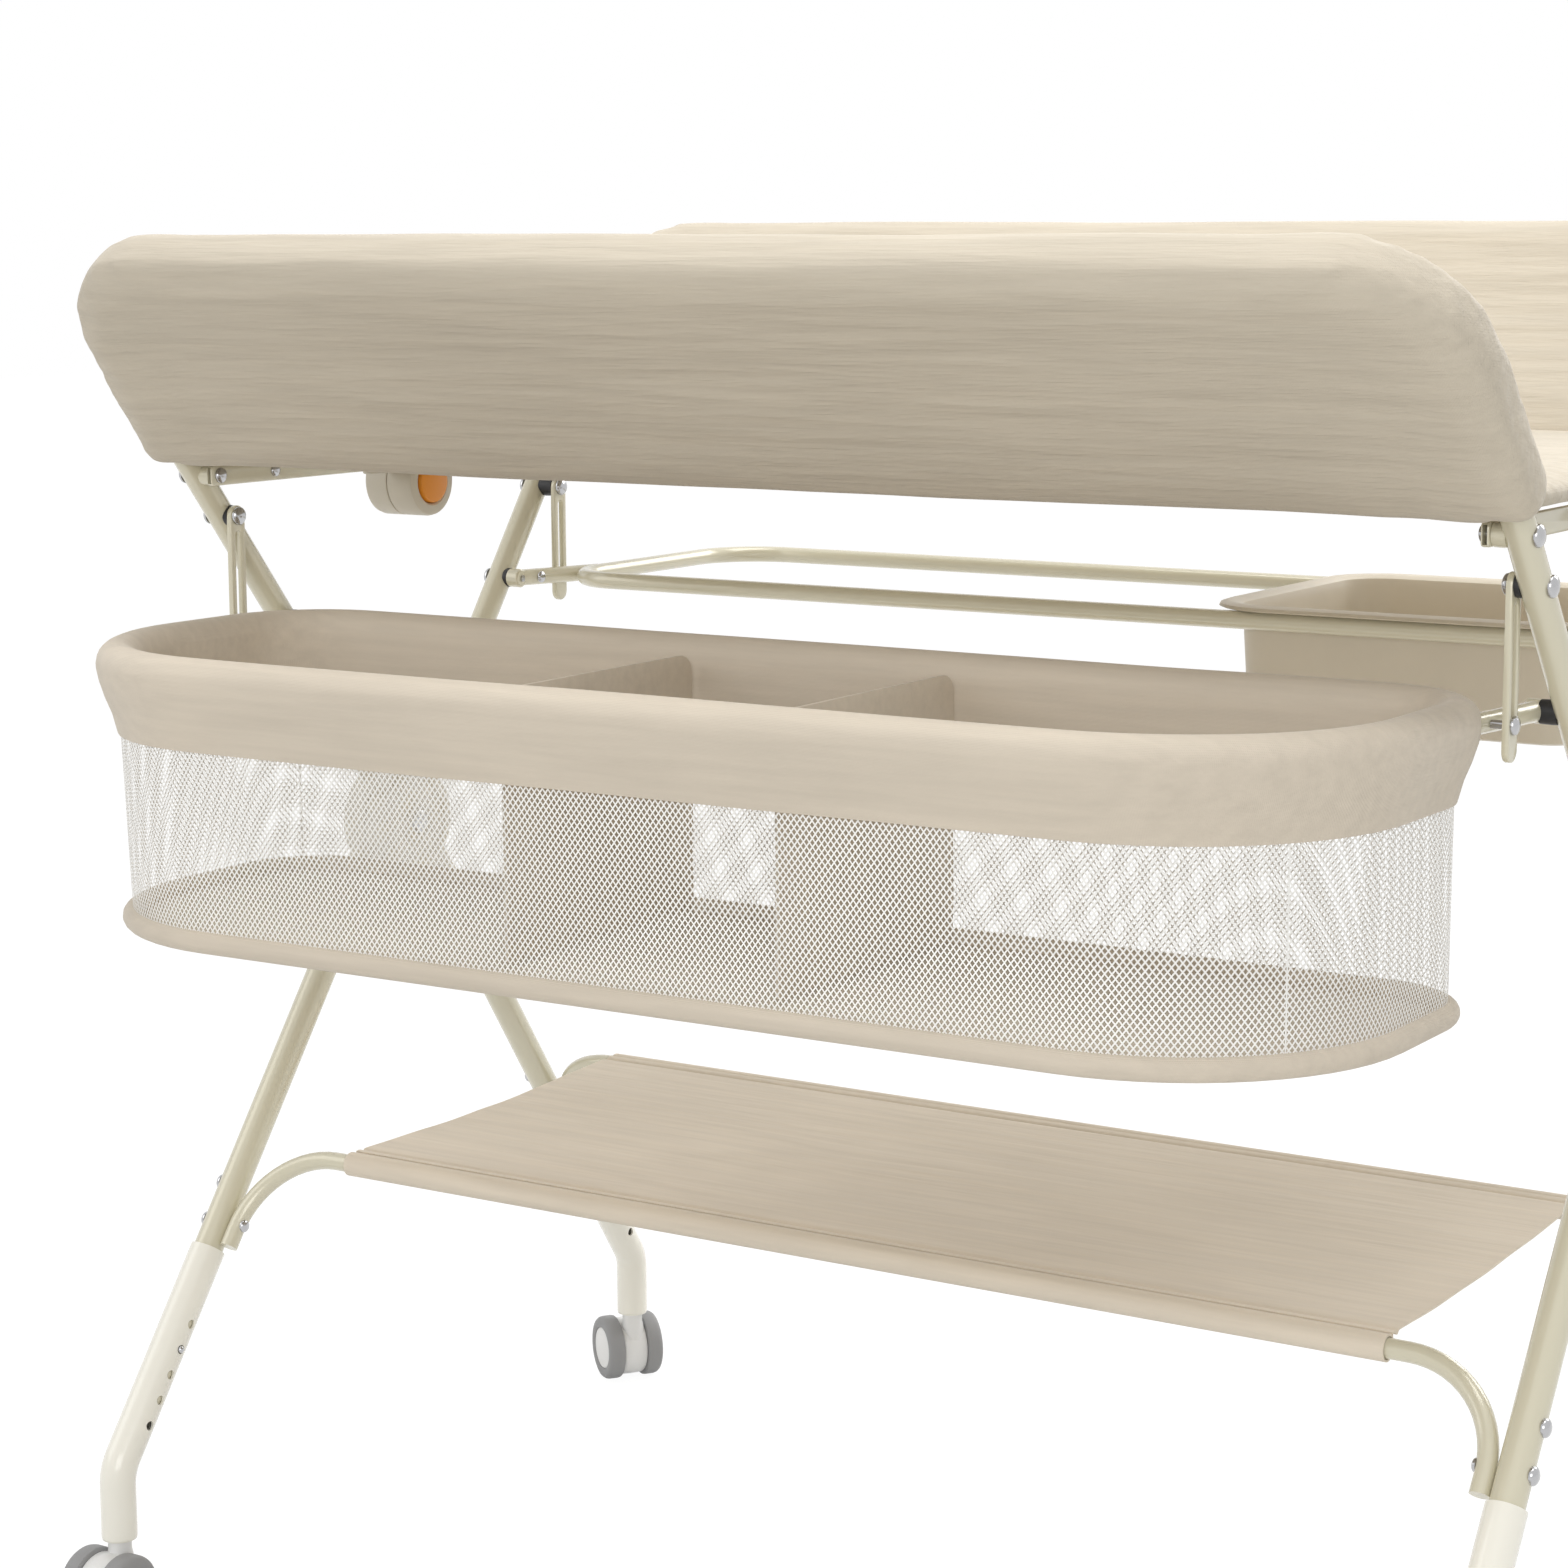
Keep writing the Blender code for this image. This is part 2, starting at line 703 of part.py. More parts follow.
FEET = (
    ("front_left", "back_lower", BACK_FRAME_X, -1, 270.0, True),
    ("front_right", "back_lower", BACK_FRAME_X, 1, 270.0, True),
    ("back_left", "front_lower", FRONT_FRAME_X, -1, 145.0, False),
    ("back_right", "front_lower", FRONT_FRAME_X, 1, 35.0, False),
)


def foot_path(kind, x, top_z, bottom_z):
    top = at_height(kind, x, top_z)
    bend = at_height(kind, x, FOOT_BEND_Z)
    bottom = Vector((x, bend.y, bottom_z))
    return rounded_path([top, bend, bottom], FOOT_BEND_R, FOOT_BEND_STEPS)


def make_feet(build):
    for place, kind, x, side, _, _ in FEET:
        name = f"foot_{place}"
        path = foot_path(kind, x * side, FOOT_TOP_Z, FOOT_BOTTOM_Z)
        foot = build.add(name, tube_mesh(name, path, FOOT_TUBE_R), "foot")
        bore_path = foot_path(kind, x * side, FOOT_TOP_Z + FOOT_PLUG_HEIGHT, FOOT_BOTTOM_Z + FOOT_PLUG_HEIGHT)
        bore = tube_mesh(name + "_bore", bore_path, FOOT_BORE_R)
        boolean(foot, build.cutter(name + "_bore", bore), "DIFFERENCE")
        base = path[-1]
        stem_bore = cylinder_mesh(
            name + "_stem_bore",
            CASTER_STEM_BORE_R,
            base - Vector((0.0, 0.0, FOOT_PLUG_HEIGHT)),
            base + Vector((0.0, 0.0, FOOT_PLUG_HEIGHT * 2)),
        )
        boolean(foot, build.cutter(name + "_stem_bore", stem_bore), "DIFFERENCE")
        _, along = leg_line(kind)
        button = at_height(kind, x * side, SNAP_BUTTON_Z)
        for index in range(-HEIGHT_HOLES_ABOVE, HEIGHT_HOLES_BELOW + 1):
            centre = button + along * (HEIGHT_HOLE_PITCH * index)
            end = centre - AXIS_X * side * FOOT_TUBE_R * 1.5
            hole = cylinder_mesh(f"{name}_hole_{index}", HEIGHT_HOLE_R, centre, end, SMALL_SEGMENTS // 2 + 2)
            boolean(foot, build.cutter(f"{name}_hole_{index}", hole), "DIFFERENCE")
        set_origin(foot, at_height(kind, x * side, FOOT_TOP_Z))


def make_snap_buttons(build):
    """A spring strip inside the leg with the button that stands in the foot's hole."""
    for place, kind, x, side, _, _ in FEET:
        name = f"snap_button_{place}"
        centre = at_height(kind, x * side, SNAP_BUTTON_Z)
        _, along = leg_line(kind)
        inward = -AXIS_X * side
        tip = centre + inward * (FOOT_TUBE_R + SNAP_BUTTON_PROUD)
        tail = centre + inward * (LOWER_TUBE_R - TUBE_WALL - SNAP_BUTTON_TAIL / 2)
        button = build.add(name, cylinder_mesh(name, SNAP_BUTTON_R, tail, tip), "steel")
        across = inward.cross(along).normalized() * SNAP_BUTTON_R
        start = tail + inward * SNAP_CLIP_THICK
        lower = start + along * (SNAP_CLIP_LENGTH / 2)
        upper = start - along * (SNAP_CLIP_LENGTH / 2)
        bm = bmesh.new()
        corners = []
        for depth in (inward * SNAP_CLIP_THICK, inward * 0.0):
            ring = (lower + across, lower - across, upper - across, upper + across)
            corners.append([bm.verts.new(point + depth) for point in ring])
        bm.faces.new(corners[0])
        bm.faces.new(corners[1])
        for index in range(4):
            after = (index + 1) % 4
            bm.faces.new((corners[0][index], corners[0][after], corners[1][after], corners[1][index]))
        clip = mesh_from(bm, name + "_clip", smooth=False)
        boolean(button, build.cutter(name + "_clip", clip), "UNION")
        set_origin(button, centre)


def caster_frame(place, kind, x, side, trail_angle):
    """Turns a caster's own space, with the trail along +X, to its place on the foot."""
    bend = at_height(kind, x * side, FOOT_BEND_Z)
    stem = Vector((x * side, bend.y, 0.0))
    return stem, Matrix.Translation(stem) @ Matrix.Rotation(math.radians(trail_angle), 4, "Z")


def wheel_profile():
    """Closed outline of one wheel: tyre crown, hub recess on the outer side, bore."""
    share = 1.0 / WHEEL_WIDTH
    crown = WHEEL_R - WHEEL_CORNER
    return [
        (WHEEL_BORE_R, 0.0),
        (WHEEL_R - WHEEL_CORNER / 3, 0.0),
        (WHEEL_R, WHEEL_CORNER * share),
        (WHEEL_R, 1.0 - WHEEL_CORNER * share),
        (crown, 1.0),
        (WHEEL_HUB_R, 1.0),
        (WHEEL_HUB_R - WHEEL_HUB_DEPTH, 1.0 - WHEEL_HUB_DEPTH * share),
        (WHEEL_BORE_R, 1.0 - WHEEL_HUB_DEPTH * share),
    ]


def make_caster(build, place, kind, x, side, trail_angle, braked):
    stem, turn = caster_frame(place, kind, x, side, trail_angle)
    axle = Vector((CASTER_TRAIL, 0.0, WHEEL_R))
    half = Vector((0.0, CASTER_BODY_THICK / 2, 0.0))
    name = f"caster_{place}"
    body_mesh = cylinder_mesh(name, CASTER_BODY_R, axle - half, axle + half, ROUND_SEGMENTS)
    body = build.add(name, body_mesh, "caster")
    neck_low = Vector((0.0, 0.0, WHEEL_R))
    neck_top = Vector((0.0, 0.0, CASTER_NECK_TOP_Z))
    stem_top = Vector((0.0, 0.0, CASTER_STEM_TOP_Z))
    neck = cylinder_mesh(name + "_neck", CASTER_NECK_R, neck_low, neck_top)
    pin = cylinder_mesh(name + "_stem", CASTER_STEM_R, neck_low, stem_top)
    wheel_start = Vector((0.0, CASTER_BODY_THICK / 2 + RUN_GAP, 0.0))
    wheel_end = wheel_start + Vector((0.0, WHEEL_WIDTH, 0.0))
    head_start = wheel_end - Vector((0.0, WHEEL_HUB_DEPTH - RUN_GAP, 0.0))
    reach = head_start.y + AXLE_HEAD_THICK
    inner_share = (reach - head_start.y) / (2 * reach)
    axle_profile = [
        (AXLE_HEAD_R, 0.0),
        (AXLE_HEAD_R, inner_share),
        (AXLE_R, inner_share),
        (AXLE_R, 1.0 - inner_share),
        (AXLE_HEAD_R, 1.0 - inner_share),
        (AXLE_HEAD_R, 1.0),
    ]
    along = Vector((0.0, reach, 0.0))
    rod = lathe_mesh(name + "_axle", axle_profile, axle - along, axle + along, SMALL_SEGMENTS, False)
    for extra in (neck, pin, rod):
        boolean(body, build.cutter(extra.name, extra), "UNION")
        extra.transform(turn)
    if braked:
        low = Vector((axle.x + BRAKE_ROOT - RUN_GAP * 2, -BRAKE_WIDTH / 2 - SEAT_GAP, BRAKE_Z - BRAKE_SLOT_BELOW))
        high = Vector((axle.x + CASTER_BODY_R * 2, BRAKE_WIDTH / 2 + SEAT_GAP, BRAKE_Z + BRAKE_THICK + RUN_GAP))
        slot = box_mesh(name + "_slot", low, high)
        slot.transform(turn)
        boolean(body, build.cutter(name + "_slot", slot), "DIFFERENCE")
    body.data.transform(turn)
    set_origin(body, Vector((stem.x, stem.y, CASTER_NECK_TOP_Z)))
    for letter, way in (("a", 1), ("b", -1)):
        wheel_name = f"wheel_{place}_{letter}"
        mesh = lathe_mesh(
            wheel_name, wheel_profile(), axle + wheel_start * way, axle + wheel_end * way, WHEEL_SEGMENTS, True
        )
        mesh.transform(turn)
        wheel = build.add(wheel_name, mesh, "tyre")
        set_origin(wheel, turn @ axle)
    if braked:
        make_brake(build, place, turn, axle)


def make_brake(build, place, turn, axle):
    """Pedal on the trailing side of the caster body, turning on a short pin."""
    name = f"brake_{place}"
    start = axle.x + BRAKE_ROOT
    reach = start + BRAKE_LENGTH
    low = Vector((start, -BRAKE_WIDTH / 2, BRAKE_Z))
    high = Vector((reach, BRAKE_WIDTH / 2, BRAKE_Z + BRAKE_THICK))
    mesh = box_mesh(name, low, high)
    mesh.transform(turn)
    pedal = build.add(name, mesh, "caster")
    edge = pedal.modifiers.new("Edge", "BEVEL")
    edge.width = BRAKE_THICK * 0.25
    edge.segments = 1
    set_origin(pedal, turn @ Vector((start, 0.0, BRAKE_Z + BRAKE_THICK / 2)))


def make_shelf_tubes(build):
    rows = (
        ("shelf_tube_front", "back_lower", BACK_FRAME_X, SHELF_FRONT_Z),
        ("shelf_tube_back", "front_lower", FRONT_FRAME_X, SHELF_BACK_Z),
    )
    for name, kind, leg_x, z in rows:
        x = leg_x - LOWER_TUBE_R - SHELF_TUBE_R - SEAT_GAP
        corners = [
            at_height(kind, -x, z - SHELF_END_DROP),
            at_height(kind, -x, z),
            at_height(kind, x, z),
            at_height(kind, x, z - SHELF_END_DROP),
        ]
        path = rounded_path(corners, SHELF_CORNER_R, SHELF_CORNER_STEPS)
        mesh = tube_mesh(name, path, SHELF_TUBE_R, capped=False, resolution=FINE_TUBE_RESOLUTION)
        tube = build.add(name, mesh, "frame")
        hollow(tube, TUBE_WALL)


def make_shelf_cloth(build):
    """A sheet with a sleeve along its front and back edges, sagging a little between them."""
    name = "shelf_cloth"
    front = at_height("back_lower", 0.0, SHELF_FRONT_Z)
    back = at_height("front_lower", 0.0, SHELF_BACK_Z)
    lift = SLEEVE_R - SHELF_CLOTH_THICK
    top = []
    under = []
    for step in range(SHELF_SAG_STEPS + 1):
        share = step / SHELF_SAG_STEPS
        place = front.lerp(back, share)
        sag = SHELF_SAG * math.sin(math.pi * share)
        under.append((place.y, place.z + lift - sag))
        top.append((place.y, place.z + SLEEVE_R - sag))
    outline = under + top[::-1]
    sheet = build.add(name, prism_mesh(name, outline, -SHELF_HALF_LENGTH, SHELF_HALF_LENGTH), "fabric")
    for label, centre in (("front", front), ("back", back)):
        ends = [centre - AXIS_X * SHELF_HALF_LENGTH, centre + AXIS_X * SHELF_HALF_LENGTH]
        sleeve = tube_mesh(f"{name}_{label}_sleeve", ends, SLEEVE_R)
        boolean(sheet, build.cutter(f"{name}_{label}_sleeve", sleeve), "UNION")
        overrun = AXIS_X * SLEEVE_R
        bore = tube_mesh(f"{name}_{label}_bore", [ends[0] - overrun, ends[1] + overrun], SLEEVE_R - SLEEVE_WALL)
        boolean(sheet, build.cutter(f"{name}_{label}_bore", bore), "DIFFERENCE")


def panel_mesh(name, kind, x, foot, top):
    """The flat padding between the legs of a hoop, thicker in its middle."""
    columns = 12
    rows = 4
    side = AXIS_X.cross(leg_line(kind)[1]).normalized()
    bm = bmesh.new()
    faces = []
    for way in (-1, 1):
        grid = []
        for row in range(rows + 1):
            line = []
            for column in range(columns + 1):
                across = column / columns
                up = row / rows
                crown = GUARD_PANEL_CROWN * math.sin(math.pi * across) * math.sin(math.pi * up)
                place = on_leg(kind, x * (2 * across - 1), foot + (top - foot) * up)
                line.append(bm.verts.new(place + side * way * (GUARD_PANEL_THICK / 2 + crown)))
            grid.append(line)
        faces.append(grid)
    for grid in faces:
        for row in range(rows):
            for column in range(columns):
                bm.faces.new(
                    (
                        grid[row][column],
                        grid[row][column + 1],
                        grid[row + 1][column + 1],
                        grid[row + 1][column],
                    )
                )
    front, back = faces
    rim_front = (
        front[0]
        + [line[-1] for line in front[1:-1]]
        + front[-1][::-1]
        + [line[0] for line in front[1:-1]][::-1]
    )
    rim_back = (
        back[0]
        + [line[-1] for line in back[1:-1]]
        + back[-1][::-1]
        + [line[0] for line in back[1:-1]][::-1]
    )
    for index in range(len(rim_front)):
        after = (index + 1) % len(rim_front)
        bm.faces.new((rim_front[index], rim_front[after], rim_back[after], rim_back[index]))
    return mesh_from(bm, name)


def strut_notch(build, name, pivot, strut_x, swing, side, way):
    """Room in a guard for the strut that turns up inside it: a sector of its sweep, and a disc for its nose."""
    half = STRUT_HEIGHT / 2 + RUN_GAP * 2
    nose = STRUT_END + half
    sweep = swing + math.degrees(math.asin(half / STRUT_SWING_ROOM))
    beside = math.degrees(math.asin(half / nose))
    outline = []
    for step in range(NOTCH_STEPS + 1):
        angle = math.radians(-NOTCH_LEAD + (sweep + NOTCH_LEAD) * step / NOTCH_STEPS)
        outline.append((STRUT_SWING_ROOM, angle))
    for step in range(NOTCH_STEPS + 1):
        angle = math.radians(swing + beside + (360.0 - swing - beside * 2) * step / NOTCH_STEPS)
        outline.append((nose, angle))
    points = [
        (pivot.y + way * radius * math.cos(angle), pivot.z + radius * math.sin(angle)) for radius, angle in outline
    ]
    ends = sorted(((strut_x - RUN_GAP * 3) * side, (strut_x + STRUT_THICK + RUN_GAP * 3) * side))
    return build.cutter(name, prism_mesh(name, points, ends[0], ends[1]))


def make_guard(build, name, kind, x, length, height, strut_x, swing, pivot, way):
    roll_path = hoop_path(kind, x, length, length - height)
    guard = build.add(name, tube_mesh(name, roll_path, GUARD_ROLL_R), "fabric")
    panel = panel_mesh(name + "_panel", kind, x, length - height - GUARD_PANEL_DROP, length)
    boolean(guard, build.cutter(name + "_panel", panel), "UNION")
    channel = tube_mesh(name + "_channel", hoop_path(kind, x, length, TUBE_START), GUARD_CHANNEL_R)
    boolean(guard, build.cutter(name + "_channel", channel), "DIFFERENCE")
    for side_name, side in SIDES:
        notch = strut_notch(build, f"{name}_notch_{side_name}", pivot, strut_x, swing, side, way)
        boolean(guard, notch, "DIFFERENCE")
    return guard


def make_guards(build):
    at = pivot_points()
    make_guard(
        build,
        "front_guard",
        "front_upper",
        FRONT_FRAME_X,
        FRONT_HOOP_LENGTH,
        FRONT_GUARD_HEIGHT,
        FRONT_STRUT_X,
        FRONT_STRUT_SWING,
        at["front_strut"],
        1,
    )
    make_guard(
        build,
        "back_guard",
        "back_upper",
        BACK_FRAME_X,
        BACK_HOOP_LENGTH,
        BACK_GUARD_HEIGHT,
        BACK_STRUT_X,
        BACK_STRUT_SWING,
        at["back_strut"],
        -1,
    )


def make_bed(build):
    """The padded floor between the guards, cut clear of their rolls."""
    name = "bed_base"
    reach = GUARD_PANEL_THICK / 2 + GUARD_PANEL_CROWN + SEAT_GAP
    inner_under = []
    for kind, way in (("front_upper", 1), ("back_upper", -1)):
        _, along = leg_line(kind)
        step = reach / along.z
        low = at_height(kind, 0.0, BED_UNDER_Z)
        high = at_height(kind, 0.0, BED_TOP_Z + BED_EDGE_RISE)
        inner_under.append(((low.y + way * step, low.z), (high.y + way * step, high.z)))
    (front_low, front_high), (back_low, back_high) = inner_under
    outline = [front_low, back_low, back_high]
    for step in range(BED_STEPS, -1, -1):
        share = step / BED_STEPS
        y = front_high[0] + (back_high[0] - front_high[0]) * (0.06 + 0.88 * share)
        outline.append((y, BED_TOP_Z + BED_CROWN * math.sin(math.pi * share)))
    outline.append(front_high)
    bed = build.add(name, prism_mesh(name, outline, -BED_HALF_LENGTH, BED_HALF_LENGTH), "fabric")
    rows = (
        ("front", "front_upper", FRONT_FRAME_X, FRONT_HOOP_LENGTH, FRONT_GUARD_HEIGHT),
        ("back", "back_upper", BACK_FRAME_X, BACK_HOOP_LENGTH, BACK_GUARD_HEIGHT),
    )
    for label, kind, x, length, height in rows:
        path = hoop_path(kind, x, length, length - height - GUARD_PANEL_DROP - GUARD_ROLL_R)
        roll = tube_mesh(f"{name}_{label}_roll", path, GUARD_ROLL_R + SEAT_GAP)
        boolean(bed, build.cutter(f"{name}_{label}_roll", roll), "DIFFERENCE")


def strut_outline(pivot, way):
    """Flat bar from past its pivot to the lock, round at the pivot end."""
    half = STRUT_HEIGHT / 2
    nose = pivot.y - way * STRUT_END
    points = []
    for step in range(5):
        angle = math.radians(90.0 + 180.0 * step / 4)
        points.append((nose + way * half * math.cos(angle), STRUT_Z + half * math.sin(angle)))
    tip = LOCK_Y - way * LOCK_R * 0.4
    return points + [(tip, STRUT_Z - half), (tip, STRUT_Z + half)]


def strut_hollow(name, pivot, way, ends):
    """Inside of a bar: flat tube, open at the pivot end and shut in the lock."""
    mouth = pivot.y - way * (STRUT_END + STRUT_HEIGHT)
    shut = LOCK_Y - way * (LOCK_R * 0.4 + STRUT_WALL)
    half = STRUT_HEIGHT / 2 - STRUT_WALL
    low = Vector((ends[0] + STRUT_WALL, min(mouth, shut), STRUT_Z - half))
    high = Vector((ends[1] - STRUT_WALL, max(mouth, shut), STRUT_Z + half))
    return box_mesh(name + "_hollow", low, high)


def make_struts(build):
    at = pivot_points()
    rows = (("front", FRONT_STRUT_X, 1), ("back", BACK_STRUT_X, -1))
    for side_name, side in SIDES:
        for place, x, way in rows:
            pivot = at[f"{place}_strut"]
            name = f"strut_{place}_{side_name}"
            ends = sorted((x * side, (x + STRUT_THICK) * side))
            bar = build.add(name, prism_mesh(name, strut_outline(pivot, way), ends[0], ends[1]), "frame")
            low = Vector((ends[0] - STRUT_THICK, pivot.y, pivot.z))
            high = Vector((ends[1] + STRUT_THICK, pivot.y, pivot.z))
            hole = cylinder_mesh(name + "_hole", PIN_HOLE_R, low, high)
            boolean(bar, build.cutter(name + "_hole", hole), "DIFFERENCE")
            room = strut_hollow(name, pivot, way, ends)
            boolean(bar, build.cutter(name + "_hollow", room), "DIFFERENCE")
            set_origin(bar, mirror_x(Vector((x, pivot.y, pivot.z)), side))


def lock_half(build, name, x_low, x_high, strut_x, way, side):
    """Round half of the lock with a neck that grips its bar."""
    centre = Vector((0.0, LOCK_Y, LOCK_Z))
    low = mirror_x(centre + AXIS_X * x_low, side)
    high = mirror_x(centre + AXIS_X * x_high, side)
    half = build.add(name, cylinder_mesh(name, LOCK_R, low, high, ROUND_SEGMENTS), "shell")
    neck_x = sorted(
        (
            max(x_low, strut_x - LOCK_NECK_WALL) * side,
            min(x_high, strut_x + STRUT_THICK + LOCK_NECK_WALL) * side,
        )
    )
    neck_y = sorted((LOCK_Y, LOCK_Y - way * LOCK_NECK_LENGTH))
    under = STRUT_Z - STRUT_HEIGHT / 2 - LOCK_NECK_WALL
    over = STRUT_Z + STRUT_HEIGHT / 2 + LOCK_NECK_WALL
    neck = box_mesh(
        name + "_neck", Vector((neck_x[0], neck_y[0], under)), Vector((neck_x[1], neck_y[1], over))
    )
    boolean(half, build.cutter(name + "_neck", neck), "UNION")
    slot_x = sorted(((strut_x - SEAT_GAP) * side, (strut_x + STRUT_THICK + SEAT_GAP) * side))
    tip = LOCK_Y - way * (LOCK_R * 0.4 - SEAT_GAP)
    slot_y = sorted((tip, tip - way * (LOCK_NECK_LENGTH * 2)))
    slot = box_mesh(
        name + "_slot",
        Vector((slot_x[0], slot_y[0], STRUT_Z - STRUT_HEIGHT / 2 - SEAT_GAP)),
        Vector((slot_x[1], slot_y[1], STRUT_Z + STRUT_HEIGHT / 2 + SEAT_GAP)),
    )
    boolean(half, build.cutter(name + "_slot", slot), "DIFFERENCE")
    return half


def make_locks(build):
    at = pivot_points()
    centre = Vector((0.0, LOCK_Y, LOCK_Z))
    for side_name, side in SIDES:
        inner = lock_half(
            build, f"lock_inner_{side_name}", LOCK_INNER_X, LOCK_SPLIT_X, FRONT_STRUT_X, 1, side
        )
        outer_low = LOCK_SPLIT_X + SEAT_GAP * 2
        outer = lock_half(build, f"lock_outer_{side_name}", outer_low, LOCK_OUTER_X, BACK_STRUT_X, -1, side)
        well_end = LOCK_INNER_X + LOCK_BUTTON_WELL
        well = cylinder_mesh(
            f"lock_well_{side_name}",
            LOCK_BUTTON_R + SEAT_GAP,
            mirror_x(centre + AXIS_X * (LOCK_INNER_X - LOCK_BUTTON_PROUD), side),
            mirror_x(centre + AXIS_X * well_end, side),
            ROUND_SEGMENTS,
        )
        boolean(inner, build.cutter(f"lock_well_{side_name}_shape", well), "DIFFERENCE")
        face = mirror_x(centre + AXIS_X * (LOCK_INNER_X - LOCK_BUTTON_PROUD), side)
        back = mirror_x(centre + AXIS_X * (well_end - LOCK_BUTTON_TRAVEL - SEAT_GAP), side)
        name = f"lock_button_{side_name}"
        button = build.add(name, cylinder_mesh(name, LOCK_BUTTON_R, face, back, ROUND_SEGMENTS), "button")
        edge = button.modifiers.new("Edge", "BEVEL")
        edge.width = LOCK_BUTTON_PROUD * 0.5
        edge.segments = 1
        edge.limit_method = "ANGLE"
        set_origin(button, face)
        front = at["front_strut"]
        back_pivot = at["back_strut"]
        inner.data.transform(Matrix.Translation(-mirror_x(Vector((FRONT_STRUT_X, front.y, front.z)), side)))
        inner.location = mirror_x(Vector((FRONT_STRUT_X, front.y, front.z)), side)
        outer.data.transform(
            Matrix.Translation(-mirror_x(Vector((BACK_STRUT_X, back_pivot.y, back_pivot.z)), side))
        )
        outer.location = mirror_x(Vector((BACK_STRUT_X, back_pivot.y, back_pivot.z)), side)


def stadium(top, bottom, half, steps=5):
    """(y, z) outline of an upright bar with round ends."""
    points = []
    for step in range(steps + 1):
        angle = math.radians(180.0 * step / steps)
        points.append((top[0] + half * math.cos(angle), top[1] + half * math.sin(angle)))
    for step in range(steps + 1):
        angle = math.radians(180.0 + 180.0 * step / steps)
        points.append((bottom[0] + half * math.cos(angle), bottom[1] + half * math.sin(angle)))
    return points


def make_stays(build):
    at = pivot_points()
    rows = (("front", FRONT_STAY_Y, BASKET_Z), ("back", BACK_STAY_Y, RACK_Z))
    for place, y, pin_z in rows:
        pivot = at[f"{place}_stay"]
        half = STAY_WIDTH / 2
        slot_half = STAY_SLOT_WIDTH / 2
        bottom = (y, pin_z - STAY_TAIL + half)
        outline = stadium((y, pivot.z), bottom, half)
        slot_top = (y, pivot.z - STAY_SLOT_CLEAR - slot_half)
        slot_bottom = (y, pin_z)
        slot_outline = stadium(slot_top, slot_bottom, slot_half)
        for side_name, side in SIDES:
            name = f"stay_{place}_{side_name}"
            ends = sorted((STAY_X * side, (STAY_X + STAY_THICK) * side))
            stay = build.add(name, prism_mesh(name, outline, ends[0], ends[1]), "frame")
            slot = prism_mesh(name + "_slot", slot_outline, ends[0] - STAY_THICK, ends[1] + STAY_THICK)
            boolean(stay, build.cutter(name + "_slot", slot), "DIFFERENCE")
            low = Vector((ends[0] - STAY_THICK, pivot.y, pivot.z))
            high = Vector((ends[1] + STAY_THICK, pivot.y, pivot.z))
            hole = cylinder_mesh(name + "_hole", PIN_HOLE_R, low, high)
            boolean(stay, build.cutter(name + "_hole", hole), "DIFFERENCE")
            set_origin(stay, mirror_x(Vector((STAY_X, pivot.y, pivot.z)), side))


def carrier_loop(near_y, far_y, near_radius, far_radius, z):
    """Closed path of a carrier's tube: near corners, then far corners."""
    corners = [
        Vector((ARM_X, near_y, z)),
        Vector((ARM_X, far_y, z)),
        Vector((-ARM_X, far_y, z)),
        Vector((-ARM_X, near_y, z)),
    ]
    radii = [near_radius, far_radius, far_radius, near_radius]
    return rounded_path(corners, radii, CORNER_STEPS, cyclic=True)


def make_carrier(build, name, pivot, near_y, far_y, near_radius, far_radius, z, way):
    """Loop of tube with two arms that turn on the frame's pins."""
    path = carrier_loop(near_y, far_y, near_radius, far_radius, z)
    loop = tube_mesh(name, path, RIM_TUBE_R, cyclic=True, resolution=FINE_TUBE_RESOLUTION)
    frame = build.add(name, loop, "frame")
    for side_name, side in SIDES:
        x = ARM_X * side
        ends = [
            Vector((x, pivot.y - way * ARM_BACK_END, z)),
            Vector((x, near_y + way * (near_radius + RIM_TUBE_R), z)),
        ]
        arm = tube_mesh(f"{name}_arm_{side_name}", ends, ARM_R)
        boolean(frame, build.cutter(f"{name}_arm_{side_name}", arm), "UNION")
        low = Vector((x - ARM_R * 1.5, pivot.y, pivot.z))
        high = Vector((x + ARM_R * 1.5, pivot.y, pivot.z))
        hole = cylinder_mesh(f"{name}_hole_{side_name}", PIN_HOLE_R, low, high)
        boolean(frame, build.cutter(f"{name}_hole_{side_name}", hole), "DIFFERENCE")
    set_origin(frame, Vector((0.0, pivot.y, pivot.z)))
    return frame


def make_carriers(build):
    at = pivot_points()
    make_carrier(
        build,
        "basket_frame",
        at["front_arm"],
        BASKET_NEAR_Y,
        BASKET_FAR_Y,
        BASKET_NEAR_CORNER_R,
        BASKET_FAR_CORNER_R,
        BASKET_Z,
        -1,
    )
    make_carrier(
        build,
        "rack_frame",
        at["back_arm"],
        RACK_NEAR_Y,
        RACK_FAR_Y,
        RACK_NEAR_CORNER_R,
        RACK_FAR_CORNER_R,
        RACK_Z,
        1,
    )


def basket_ring(offset):
    """Plan outline of the basket at an offset outwards from its rim tube."""
    return rounded_rectangle(
        ARM_X + offset,
        BASKET_FAR_Y - offset,
        BASKET_NEAR_Y + offset,
        BASKET_FAR_CORNER_R + offset,
        BASKET_NEAR_CORNER_R + offset,
    )


